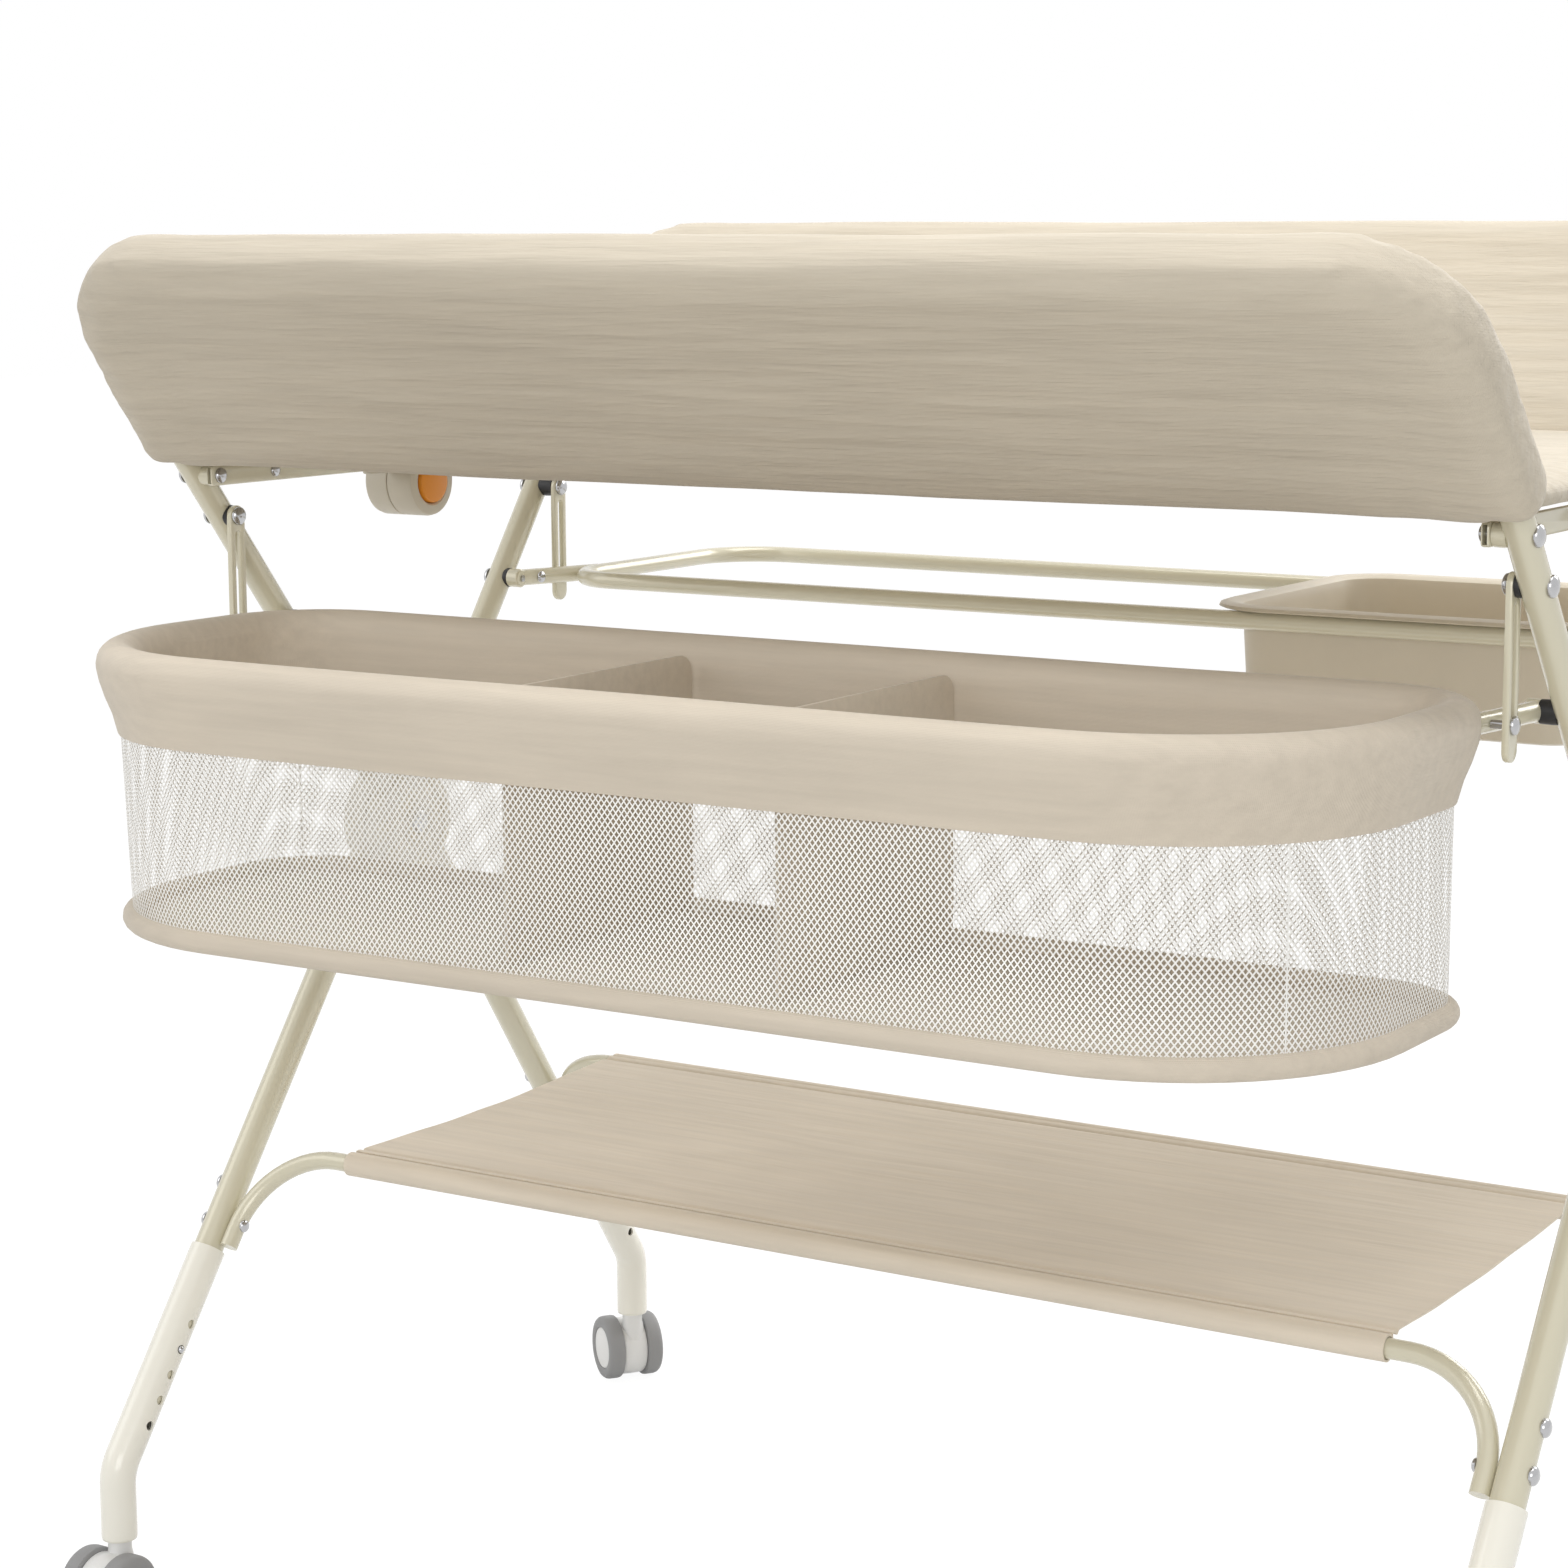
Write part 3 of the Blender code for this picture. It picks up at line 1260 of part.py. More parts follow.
def basket_section():
    """(offset, height) from the middle of the underside, over the rim, to the floor."""
    wall_out = BASKET_BAND_BORE_R + BASKET_WALL
    floor_top = BASKET_FLOOR_Z + BASKET_FLOOR_THICK
    band_foot = BASKET_Z - BASKET_BAND_DROP
    hem_steep = 60.0
    hem_x = wall_out - BASKET_TAPER - BASKET_HEM_R * math.cos(math.radians(hem_steep))
    hem = [
        (hem_x + radius, BASKET_FLOOR_Z + BASKET_HEM_R + height)
        for radius, height in arc_points(BASKET_HEM_R, -90.0, hem_steep, HEM_STEPS)
    ]
    outer = [(radius, BASKET_Z + height) for radius, height in arc_points(BASKET_BAND_R, 0.0, 180.0, BAND_STEPS)]
    inner = [(radius, BASKET_Z + height) for radius, height in arc_points(BASKET_BAND_BORE_R, 180.0, 0.0, BAND_STEPS)]
    return (
        hem
        + [
            (wall_out, band_foot),
            (BASKET_BAND_R, band_foot + BASKET_WALL),
        ]
        + outer
        + [
            (-BASKET_BAND_R, BASKET_Z - BASKET_LIP_DROP),
            (-BASKET_BAND_BORE_R, BASKET_Z - BASKET_LIP_DROP),
        ]
        + inner
        + [
            (BASKET_BAND_BORE_R, band_foot),
            (BASKET_BAND_BORE_R - BASKET_TAPER, floor_top),
        ]
    )


def divider_seam(name, side):
    """Groove across the floor that a divider stands in, from wall to wall."""
    floor_top = BASKET_FLOOR_Z + BASKET_FLOOR_THICK
    half = DIVIDER_THICK / 2 + SEAT_GAP
    reach = BASKET_BAND_BORE_R - BASKET_TAPER + SEAT_GAP
    low = Vector((DIVIDER_X * side - half, BASKET_FAR_Y - reach, floor_top - DIVIDER_SEAM_DEPTH))
    high = Vector((DIVIDER_X * side + half, BASKET_NEAR_Y + reach, floor_top + SEAT_GAP))
    return box_mesh(f"{name}_seam", low, high)


def make_basket_cloth(build):
    name = "basket_cloth"
    cloth = build.add(name, shell_mesh(name, basket_section(), basket_ring), "fabric")
    pivot = pivot_points()["front_arm"]
    for side_name, side in SIDES:
        ends = [
            Vector((ARM_X * side, pivot.y + ARM_BACK_END, BASKET_Z)),
            Vector((ARM_X * side, BASKET_NEAR_Y - BASKET_NEAR_CORNER_R - ARM_R * 2, BASKET_Z)),
        ]
        room = tube_mesh(f"{name}_arm_room_{side_name}", ends, BASKET_ARM_CLEAR_R)
        boolean(cloth, build.cutter(f"{name}_arm_room_{side_name}", room), "DIFFERENCE")
        boolean(cloth, build.cutter(f"{name}_seam_{side_name}", divider_seam(name, side)), "DIFFERENCE")
    set_origin(cloth, Vector((0.0, pivot.y, pivot.z)))


def make_dividers(build):
    floor = BASKET_FLOOR_Z + BASKET_FLOOR_THICK - DIVIDER_SEAM_DEPTH + SEAT_GAP
    inset = BASKET_BAND_R + DIVIDER_INSET
    pivot = pivot_points()["front_arm"]
    for side_name, side in SIDES:
        name = f"basket_divider_{side_name}"
        x = DIVIDER_X * side
        low = Vector((x - DIVIDER_THICK / 2, BASKET_FAR_Y + inset, floor))
        high = Vector((x + DIVIDER_THICK / 2, BASKET_NEAR_Y - inset, DIVIDER_TOP_Z))
        divider = build.add(name, box_mesh(name, low, high), "fabric")
        set_origin(divider, Vector((0.0, pivot.y, pivot.z)))


def bin_ring(place):
    """Plan outline of the bin, drawn in by the first value and out over the lip by the second, a share."""
    inset, lip_share = place
    low = RACK_NEAR_Y + RIM_TUBE_R + BIN_NEAR_GAP
    high = RACK_FAR_Y - RIM_TUBE_R - BIN_NEAR_GAP
    side = BIN_LIP_SIDE * lip_share - inset
    end = BIN_LIP_END * lip_share - inset
    radius = BIN_CORNER_R + side
    ring = rounded_rectangle(BIN_HALF_LENGTH + end, low - side, high + side, radius, radius)
    return [(x + BIN_X, y) for x, y in ring]


def make_bin(build):
    """Tub with drafted walls and a lip that rests on the rack's tubes."""
    name = "bin"
    lip_under = RACK_Z + RIM_TUBE_R + SEAT_GAP
    lip_top = lip_under + BIN_LIP_THICK
    section = [
        ((BIN_DRAFT + BIN_WALL, 0.0), BIN_FLOOR_Z),
        ((BIN_DRAFT, 0.0), BIN_FLOOR_Z + BIN_WALL),
        ((0.0, 0.0), lip_under),
        ((0.0, 1.0), lip_under),
        ((0.0, 1.0), lip_top - BIN_LIP_EDGE / 2),
        ((BIN_LIP_EDGE / 2, 1.0), lip_top),
        ((BIN_LIP_EDGE, 1.0), lip_top),
        ((BIN_WALL, 0.0), lip_under + BIN_WALL),
        ((BIN_WALL * 1.5, 0.0), lip_under),
        ((BIN_DRAFT + BIN_WALL, 0.0), BIN_FLOOR_Z + BIN_WALL * 2),
        ((BIN_DRAFT + BIN_WALL * 2, 0.0), BIN_FLOOR_Z + BIN_WALL),
    ]
    bucket = build.add(name, shell_mesh(name, section, bin_ring), "shell")
    set_origin(bucket, Vector((BIN_X, RACK_NEAR_Y, lip_under)))


def body_empty(build, name, point):
    made = bpy.data.objects.new(name, None)
    made.location = point
    made.empty_display_size = WHEEL_R
    build.part.objects.link(made)
    return made


def parent_pieces(build):
    """Ties each piece to an empty on the axis that its body turns about."""
    at = pivot_points()
    holders = {
        "back_frame_axis": (
            Vector((0.0, PIVOT_Y, PIVOT_Z)),
            ("back_hoop", "leg_front", "hub_outer", "shelf_tube_front", "back_guard", "stay_back", "rack_frame"),
        ),
        "front_frame_axis": (
            Vector((0.0, PIVOT_Y, PIVOT_Z)),
            ("front_hoop", "leg_back", "hub_inner", "shelf_tube_back", "front_guard", "stay_front", "basket_"),
        ),
        "rack_axis": (at["back_arm"], ("bin",)),
    }
    bpy.context.view_layer.update()
    for empty_name, (point, prefixes) in holders.items():
        holder = body_empty(build, empty_name, point)
        bpy.context.view_layer.update()
        for item in build.part.objects:
            if item.type == "MESH" and item.name.startswith(prefixes):
                item.parent = holder
                item.matrix_parent_inverse = holder.matrix_world.inverted()


def centre_y():
    """Middle between the basket's front and the back edge of the bin's lip."""
    basket_front = BASKET_FAR_Y - BASKET_BAND_R
    bin_back = RACK_FAR_Y - RIM_TUBE_R - BIN_NEAR_GAP + BIN_LIP_SIDE
    return (basket_front + bin_back) / 2


def centre_part(build):
    """Moves the whole part so that its box stands over the origin."""
    shift = Vector((0.0, -centre_y(), 0.0))
    for holder in (build.part, build.cutters):
        for item in holder.objects:
            if item.parent is None:
                item.location = item.location + shift


def main():
    clear_scene()
    build = Build()
    make_hoops(build)
    make_legs(build)
    make_hubs(build)
    make_feet(build)
    make_snap_buttons(build)
    for row in FEET:
        make_caster(build, *row)
    make_shelf_tubes(build)
    make_shelf_cloth(build)
    make_guards(build)
    make_bed(build)
    make_struts(build)
    make_locks(build)
    make_stays(build)
    make_carriers(build)
    make_basket_cloth(build)
    make_dividers(build)
    make_bin(build)
    parent_pieces(build)
    centre_part(build)


main()
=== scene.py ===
import bisect
import json
import math

import bmesh
import bpy
from bpy.props import FloatProperty, FloatVectorProperty, IntProperty, PointerProperty
from mathutils import Matrix, Vector, noise

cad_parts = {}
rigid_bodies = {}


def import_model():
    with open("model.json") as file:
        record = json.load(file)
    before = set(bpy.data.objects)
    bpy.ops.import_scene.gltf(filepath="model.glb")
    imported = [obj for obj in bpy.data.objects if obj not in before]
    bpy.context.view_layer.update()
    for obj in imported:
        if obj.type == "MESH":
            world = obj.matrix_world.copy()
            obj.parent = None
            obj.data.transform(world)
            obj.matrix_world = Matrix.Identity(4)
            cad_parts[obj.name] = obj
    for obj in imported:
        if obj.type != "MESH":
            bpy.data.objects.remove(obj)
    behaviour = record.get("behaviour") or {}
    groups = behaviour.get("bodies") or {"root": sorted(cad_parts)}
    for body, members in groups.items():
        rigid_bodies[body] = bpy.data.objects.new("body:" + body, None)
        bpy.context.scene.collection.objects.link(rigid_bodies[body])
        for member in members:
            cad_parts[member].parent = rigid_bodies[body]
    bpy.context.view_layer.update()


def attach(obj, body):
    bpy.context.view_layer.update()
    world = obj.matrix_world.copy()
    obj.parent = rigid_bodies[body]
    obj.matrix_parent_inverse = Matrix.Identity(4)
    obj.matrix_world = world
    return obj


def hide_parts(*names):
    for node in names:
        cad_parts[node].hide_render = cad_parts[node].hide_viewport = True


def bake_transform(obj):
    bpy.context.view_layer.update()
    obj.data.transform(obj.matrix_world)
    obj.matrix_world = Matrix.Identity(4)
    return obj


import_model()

bl_info = {
    "name": "Folding changing table",
    "version": (1, 0, 0),
    "blender": (4, 5, 0),
    "location": "3D View > Sidebar > Changing table",
    "description": "Dresses the changing table's frame with its tubes, padding, netting and fittings",
    "category": "Object",
}

# Side plane of the table: the fold axis and the four tube lines, as in the frame
AXIS_X = Vector((1.0, 0.0, 0.0))
AXIS_Z = Vector((0.0, 0.0, 1.0))
CROSSING = Vector((0.0, 0.0109, 0.493))
LINES = {  # tilt from the vertical, shift to the back, upwards, backwards
    "front_upper": (38.6, 0.0010, True, False),
    "front_lower": (34.4, 0.0072, False, True),
    "back_upper": (35.6, 0.0119, True, True),
    "back_lower": (36.6, -0.0094, False, False),
}
FRONT_X = 0.452
BACK_X = 0.460
UPPER_R = 0.0090
LOWER_R = 0.0100
HOOP_CORNER = 0.063
TUBE_START = 0.042  # this and the four lengths run along the tube lines from the fold axis
FRONT_HOOP = 0.505
BACK_HOOP = 0.500
BACK_LEG = 0.440
FRONT_LEG = 0.452
GUARD_START = 0.3450
GUARD_FOOT = 0.3425
SIDES = (("left", -1), ("right", 1))
FEET = (  # place, tube line, X, side, heading of the caster in degrees, with a pedal
    ("front_left", "back_lower", BACK_X, -1, 270.0, True),
    ("front_right", "back_lower", BACK_X, 1, 270.0, True),
    ("back_left", "front_lower", FRONT_X, -1, 145.0, False),
    ("back_right", "front_lower", FRONT_X, 1, 35.0, False),
)
STRUT_Z = 0.7506
BASKET_Z = 0.648
RACK_Z = 0.654
FRONT_STAY_Y = -0.1710
BACK_STAY_Y = 0.1866
FRONT_STRUT_X = 0.4320
BACK_STRUT_X = 0.4395
STRUT_THICK = 0.0050
STRUT_HALF = 0.0067
STRUT_END = 0.0078
STRUT_RIVET = 0.0543
STAY_X = 0.4375
STAY_HALF = 0.0069
STAY_THICK = 0.0040
RING_X = 0.4165
RACK_X = 0.4185
BASE_X = 0.4150
BAND_R = 0.0130
BAND_FOOT = 0.0420
ARM_R = 0.0059
ARM_BOSSES = {"basket": (0.4260, 0.4345), "rack": (0.4395, 0.4495)}  # inner and outer face
RIM_R = 0.0060
LOCK = Vector((0.0, 0.0079, 0.7344))
LOCK_R = 0.0240
LOCK_FACES = {"inner": (0.4160, 0.4376), "outer": (0.4382, 0.4580)}
HUB_FACES = {"inner": (0.4360, 0.4554), "outer": (0.4566, 0.4765)}
PIN_R = 0.0024
HEAD_R = 0.0042  # small rivet head
FOOT_R = 0.0118
FOOT_WALL = 0.0014
FOOT_CURVE = 0.0300
FOOT_TOP = 0.2290
FOOT_BEND = 0.1020
FOOT_BOTTOM = 0.0570
BUTTON_Z = 0.1720
HOLE_PITCH = 0.0180
HOLE_R = 0.0031
WHEEL_R = 0.0250
WHEEL_GAP = 0.0005
CASTER_TRAIL = 0.0120
CASTER_HALF = 0.00925
SHELF_FRONT_Z = 0.2900
SHELF_BACK_Z = 0.2950
SHELF_HALF = 0.3715
SHELF_RIVETS = (0.0450, 0.0230)  # below the shelf
SHELF_DROP = 0.0580
SHELF_CORNER = 0.0600
SLEEVE_R = 0.0074
BASKET_NEAR = -0.1391
BASKET_FAR = -0.3891
BASKET_CORNERS = (0.130, 0.060)  # far and near
BASKET_FLOOR = 0.4880
BASE_INSET = 0.0045
BASE_CORNERS = (0.130, 0.052)
DIVIDER_X = (0.0905, 0.0935)
DIVIDER_Y = (-0.3450, -0.1545)
DIVIDER_TOP = 0.6515
RACK_NEAR = 0.1589
RACK_FAR = 0.3919
RACK_CORNERS = (0.046, 0.050)  # near and far
BIN_X = 0.2350
BIN_HALF = 0.1200
BIN_CORNER = 0.0300
BIN_LIP_SIDE = 0.0180
BIN_LIP_END = 0.0150
BIN_WALL = 0.0022
BED_LOW = 0.7640
BED_TOP = 0.7770
BED_RIM = BED_TOP + 0.0120
BED_DOME = 0.0040
BED_TUCK = 0.0100
BED_HALF = 0.4680

# Stage: the camera of the photograph and the soft lights
CAMERA_SPOT = (1.109, -1.9299, 0.9135)
CAMERA_TURN = (32.558, -9.095, -0.255)  # yaw, pitch and roll in degrees
LIGHTS = (  # name, place, target, size, watts
    ("top_light", (0.1, 0.1, 3.0), (0.0, 0.0, 0.6), (2.2, 1.8), 45.0),
    ("left_light", (-2.4, -1.6, 1.9), (0.0, 0.0, 0.6), (1.6, 1.8), 12.0),
    ("front_light", (1.2, -2.8, 1.5), (0.0, 0.0, 0.45), (2.0, 1.4), 25.0),
    ("back_light", (0.8, 2.6, 2.1), (0.0, 0.0, 0.4), (2.0, 1.6), 40.0),
)
SKY_LIGHT = 0.52
FLOOR_GLOW = 1.15
FLOOR_SHARE = 0.82  # of the glow, where the floor is seen directly

# Scale of the wave texture that draws the threads of the weave
THREADS = 420.0


# ---------------------------------------------------------------- places


def leg_line(kind):
    """Start on the fold axis and direction of a tube line."""
    tilt, shift, up, back = LINES[kind]
    angle = math.radians(tilt)
    along = Vector((0.0, math.sin(angle) * (1 if back else -1), math.cos(angle) * (1 if up else -1)))
    side = AXIS_X.cross(along)
    if side.y < 0.0:
        side = -side
    return CROSSING + side * shift, along


def plane_normal(kind):
    """Normal of the plane in which a tube line's hoop lies."""
    return AXIS_X.cross(leg_line(kind)[1]).normalized()


def on_leg(kind, x, distance):
    start, along = leg_line(kind)
    point = start + along * distance
    return Vector((x, point.y, point.z))


def at_height(kind, x, z):
    start, along = leg_line(kind)
    return on_leg(kind, x, (z - start.z) / along.z)


def at_depth(kind, x, y):
    start, along = leg_line(kind)
    return on_leg(kind, x, (y - start.y) / along.y)


def rounded_path(points, radius, steps, cyclic=False):
    """The points joined by straights, with each corner turned into an arc."""
    count = len(points)
    radii = radius if isinstance(radius, list) else [radius] * count
    path = []
    for index, corner in enumerate(points):
        if not cyclic and index in (0, count - 1):
            path.append(corner.copy())
            continue
        before = (points[index - 1] - corner).normalized()
        after = (points[(index + 1) % count] - corner).normalized()
        half = before.angle(after) / 2
        reach = radii[index] / math.tan(half)
        centre = corner + (before + after).normalized() * (radii[index] / math.sin(half))
        first = corner + before * reach - centre
        last = corner + after * reach - centre
        axis = first.cross(last).normalized()
        turn = first.angle(last)
        for step in range(steps + 1):
            path.append(centre + Matrix.Rotation(turn * step / steps, 3, axis) @ first)
    return path


def divided(path, longest, closed=False):
    """The path with its long stretches divided, so that cloth on it can ripple."""
    made = []
    ends = list(zip(path, path[1:])) + ([(path[-1], path[0])] if closed else [])
    for first, last in ends:
        count = max(1, math.ceil((last - first).length / longest))
        made += [first.lerp(last, step / count) for step in range(count)]
    return made if closed else made + [path[-1].copy()]


def hoop_path(kind, x, length, start, inset=0.0, steps=12):
    corners = [
        on_leg(kind, -x + inset, start),
        on_leg(kind, -x + inset, length - inset),
        on_leg(kind, x - inset, length - inset),
        on_leg(kind, x - inset, start),
    ]
    return rounded_path(corners, max(HOOP_CORNER - inset, 0.02), steps)


def plan_ring(x_half, low_y, high_y, low_r, high_r, z, steps=14):
    """Closed level path of a rectangle with its own near and far corners, anticlockwise."""
    corners = [
        Vector((x_half, low_y, z)),
        Vector((x_half, high_y, z)),
        Vector((-x_half, high_y, z)),
        Vector((-x_half, low_y, z)),
    ]
    return rounded_path(corners, [low_r, high_r, high_r, low_r], steps, cyclic=True)


# ---------------------------------------------------------------- shapes


def fresh(made, kind):
    return [item for item in made if isinstance(item, kind)]


def closed_loop(bm, points):
    """Vertices at the points and the edges that join them in a ring."""
    verts = [bm.verts.new(point) for point in points]
    return verts, [bm.edges.new((verts[i - 1], verts[i])) for i in range(len(verts))]


def extruded(bm, edges):
    """Extrudes the edges; gives the new vertices and the new edges between them."""
    made = bmesh.ops.extrude_edge_only(bm, edges=edges)["geom"]
    moved = fresh(made, bmesh.types.BMVert)
    inside = set(moved)
    return moved, [e for e in fresh(made, bmesh.types.BMEdge) if e.verts[0] in inside and e.verts[1] in inside]


def stations(path, normal, closed):
    """A frame at each point of a flat path: Z along it, X the normal of its plane."""
    made = []
    count = len(path)
    for index, point in enumerate(path):
        before = path[index - 1] if closed or index else point
        after = path[(index + 1) % count] if closed or index < count - 1 else point
        along = (after - before).normalized()
        across = along.cross(normal).normalized()
        rows = [(normal[i], across[i], along[i], point[i]) for i in range(3)]
        made.append(Matrix(rows + [(0.0, 0.0, 0.0, 1.0)]))
    return made


def sweep(bm, path, normal, radius=None, segments=24, section=None, closed=False, caps=True, scales=None):
    """Draws a circle, or an open or closed section of (X, Y) points, along a path by extruding its ring."""
    places = stations(path, normal, closed)
    if closed:
        places.append(places[0].copy())
    if scales:
        places = [place @ Matrix.Diagonal((size, size, 1.0, 1.0)) for place, size in zip(places, scales)]
    if section is None:
        ring = bmesh.ops.create_circle(bm, cap_ends=False, radius=radius, segments=segments)["verts"]
        bmesh.ops.transform(bm, matrix=places[0], verts=ring)
        edges = list({edge for vert in ring for edge in vert.link_edges})
    else:
        points, looped = section
        ring = [bm.verts.new(places[0] @ Vector((a, b, 0.0))) for a, b in points]
        edges = [bm.edges.new(pair) for pair in zip(ring, ring[1:])]
        if looped:
            edges.append(bm.edges.new((ring[-1], ring[0])))
    first = list(edges)
    for before, after in zip(places, places[1:]):
        moved, edges = extruded(bm, edges)
        bmesh.ops.transform(bm, matrix=after @ before.inverted(), verts=moved)
    if closed:
        ends = list({vert for edge in first + edges for vert in edge.verts})
        bmesh.ops.remove_doubles(bm, verts=ends, dist=2e-5)
    elif caps:
        bmesh.ops.edgeloop_fill(bm, edges=first)
        bmesh.ops.edgeloop_fill(bm, edges=edges)


def rod(bm, start, end, radius, segments=24):
    along = (end - start).normalized()
    sweep(bm, [start, end], along.orthogonal().normalized(), radius, segments)


def lathe(bm, profile, centre, axis, segments=32):
    """Spins a (radius, height) profile round an axis."""
    axis = axis.normalized()
    out = axis.orthogonal().normalized()
    verts = [bm.verts.new(centre + out * radius + axis * height) for radius, height in profile]
    edges = [bm.edges.new(pair) for pair in zip(verts, verts[1:])]
    bmesh.ops.spin(
        bm, geom=verts + edges, cent=centre, axis=axis, dvec=(0.0, 0.0, 0.0),
        angle=2 * math.pi, steps=segments, use_merge=True,
    )


def soften(bm, edges, width, segments=2):
    bmesh.ops.bevel(
        bm, geom=edges, offset=width, offset_type="OFFSET", affect="EDGES",
        segments=segments, profile=0.5, material=-1, clamp_overlap=True,
    )


def block(bm, low, high, edge=0.0):
    verts = bmesh.ops.create_cube(bm, size=1.0)["verts"]
    bmesh.ops.scale(bm, verts=verts, vec=high - low)
    bmesh.ops.translate(bm, verts=verts, vec=(low + high) / 2)
    if edge:
        soften(bm, list({e for v in verts for e in v.link_edges}), edge)


def between(a, b, side):
    """Two X values of the right end, mirrored to a side and put in order."""
    return sorted((a * side, b * side))


def plate(bm, outline, ends, edge_width, hole=None):
    """A (Y, Z) outline, with a hole of as many points if given, drawn out along X and its rims softened."""
    low, high = ends
    verts, edges = closed_loop(bm, [(low, y, z) for y, z in outline])
    if hole:
        inner_verts, inner_edges = closed_loop(bm, [(low, y, z) for y, z in hole])
        faces = bmesh.ops.bridge_loops(bm, edges=edges + inner_edges)["faces"]
        verts += inner_verts
    else:
        faces = bmesh.ops.edgeloop_fill(bm, edges=edges)["faces"]
    made = bmesh.ops.extrude_face_region(bm, geom=faces)["geom"]
    moved = fresh(made, bmesh.types.BMVert)
    bmesh.ops.translate(bm, verts=moved, vec=(high - low, 0.0, 0.0))
    everything = set(verts) | set(moved)
    bm.normal_update()
    rims = [
        edge for edge in bm.edges
        if edge.verts[0] in everything and edge.verts[1] in everything and len(edge.link_faces) == 2
        and abs(edge.verts[0].co.x - edge.verts[1].co.x) < 1e-7
        and abs(edge.link_faces[0].normal.x) + abs(edge.link_faces[1].normal.x) < 1.5
    ]
    soften(bm, rims, edge_width)


def stadium(top, bottom, half, steps=10):
    """(Y, Z) outline of a bar with round ends."""
    points = []
    for centre, start in ((top, 0.0), (bottom, 180.0)):
        for step in range(steps + 1):
            angle = math.radians(start + 180.0 * step / steps)
            points.append((centre[0] + half * math.cos(angle), centre[1] + half * math.sin(angle)))
    return points


def dome(bm, centre, axis, radius, height, segments=20):
    """A domed rivet head with a short rim."""
    rim = height * 0.25
    profile = [(radius, 0.0), (radius, rim)]
    for step in range(1, 7):
        angle = math.radians(90.0 * step / 6)
        profile.append((radius * math.cos(angle), rim + (height - rim) * math.sin(angle)))
    lathe(bm, [(0.0, 0.0)] + profile, centre, axis, segments)


# ---------------------------------------------------------------- finishes


class Finish:
    """Node tree of one finish, with short calls for its nodes."""

    def __init__(self, name):
        self.material = bpy.data.materials.new(name)
        self.material.use_nodes = True
        self.tree = self.material.node_tree
        self.shader = self.tree.nodes["Principled BSDF"]
        self.objects = self.node("ShaderNodeTexCoord").outputs["Object"]

    def node(self, kind, values=None, **settings):
        made = self.tree.nodes.new(kind)
        for key, value in settings.items():
            setattr(made, key, value)
        for key, value in (values or {}).items():
            if isinstance(value, bpy.types.NodeSocket):
                self.tree.links.new(value, made.inputs[key])
            else:
                made.inputs[key].default_value = value
        return made

    def stretched(self, size, turn=0.0):
        """Object coordinates turned about Y, then stretched."""
        turned = self.node("ShaderNodeMapping", {"Vector": self.objects, "Rotation": (0.0, turn, 0.0)})
        return self.node("ShaderNodeMapping", {"Vector": turned.outputs["Vector"], "Scale": size}).outputs["Vector"]

    def noise(self, scale, detail=3.0, size=(1.0, 1.0, 1.0), turn=0.0):
        values = {"Vector": self.stretched(size, turn), "Scale": scale, "Detail": detail, "Roughness": 0.55}
        return self.node("ShaderNodeTexNoise", values).outputs["Fac"]

    def wave(self, scale, direction):
        values = {"Vector": self.objects, "Scale": scale, "Distortion": 0.6, "Detail": 1.0, "Detail Scale": 0.4}
        return self.node(
            "ShaderNodeTexWave", values, wave_type="BANDS", bands_direction=direction
        ).outputs["Fac"]

    def maths(self, operation, first, second):
        return self.node("ShaderNodeMath", {0: first, 1: second}, operation=operation).outputs[0]

    def blend(self, share, first, second):
        made = self.node("ShaderNodeMix", data_type="RGBA")
        self.tree.links.new(share, made.inputs[0])
        made.inputs[6].default_value = (*first, 1.0)
        made.inputs[7].default_value = (*second, 1.0)
        return made.outputs[2]

    def ramp(self, share, low, high):
        made = self.node("ShaderNodeMapRange", {"Value": share, "From Min": low, "From Max": high})
        return made.outputs["Result"]

    def spread(self, value, low, high):
        """A value from 0 to 1 drawn out from low to high."""
        return self.node("ShaderNodeMapRange", {"Value": value, "To Min": low, "To Max": high}).outputs["Result"]

    def bump(self, height, strength, distance, under=None):
        values = {"Height": height, "Strength": strength, "Distance": distance}
        if under:
            values["Normal"] = under
        return self.node("ShaderNodeBump", values).outputs["Normal"]

    def set(self, **values):
        for key, value in values.items():
            socket = self.shader.inputs[key.replace("_", " ")]
            if isinstance(value, bpy.types.NodeSocket):
                self.tree.links.new(value, socket)
            else:
                socket.default_value = value
        return self.material


def shade(colour, factor):
    return tuple(channel * factor for channel in colour)


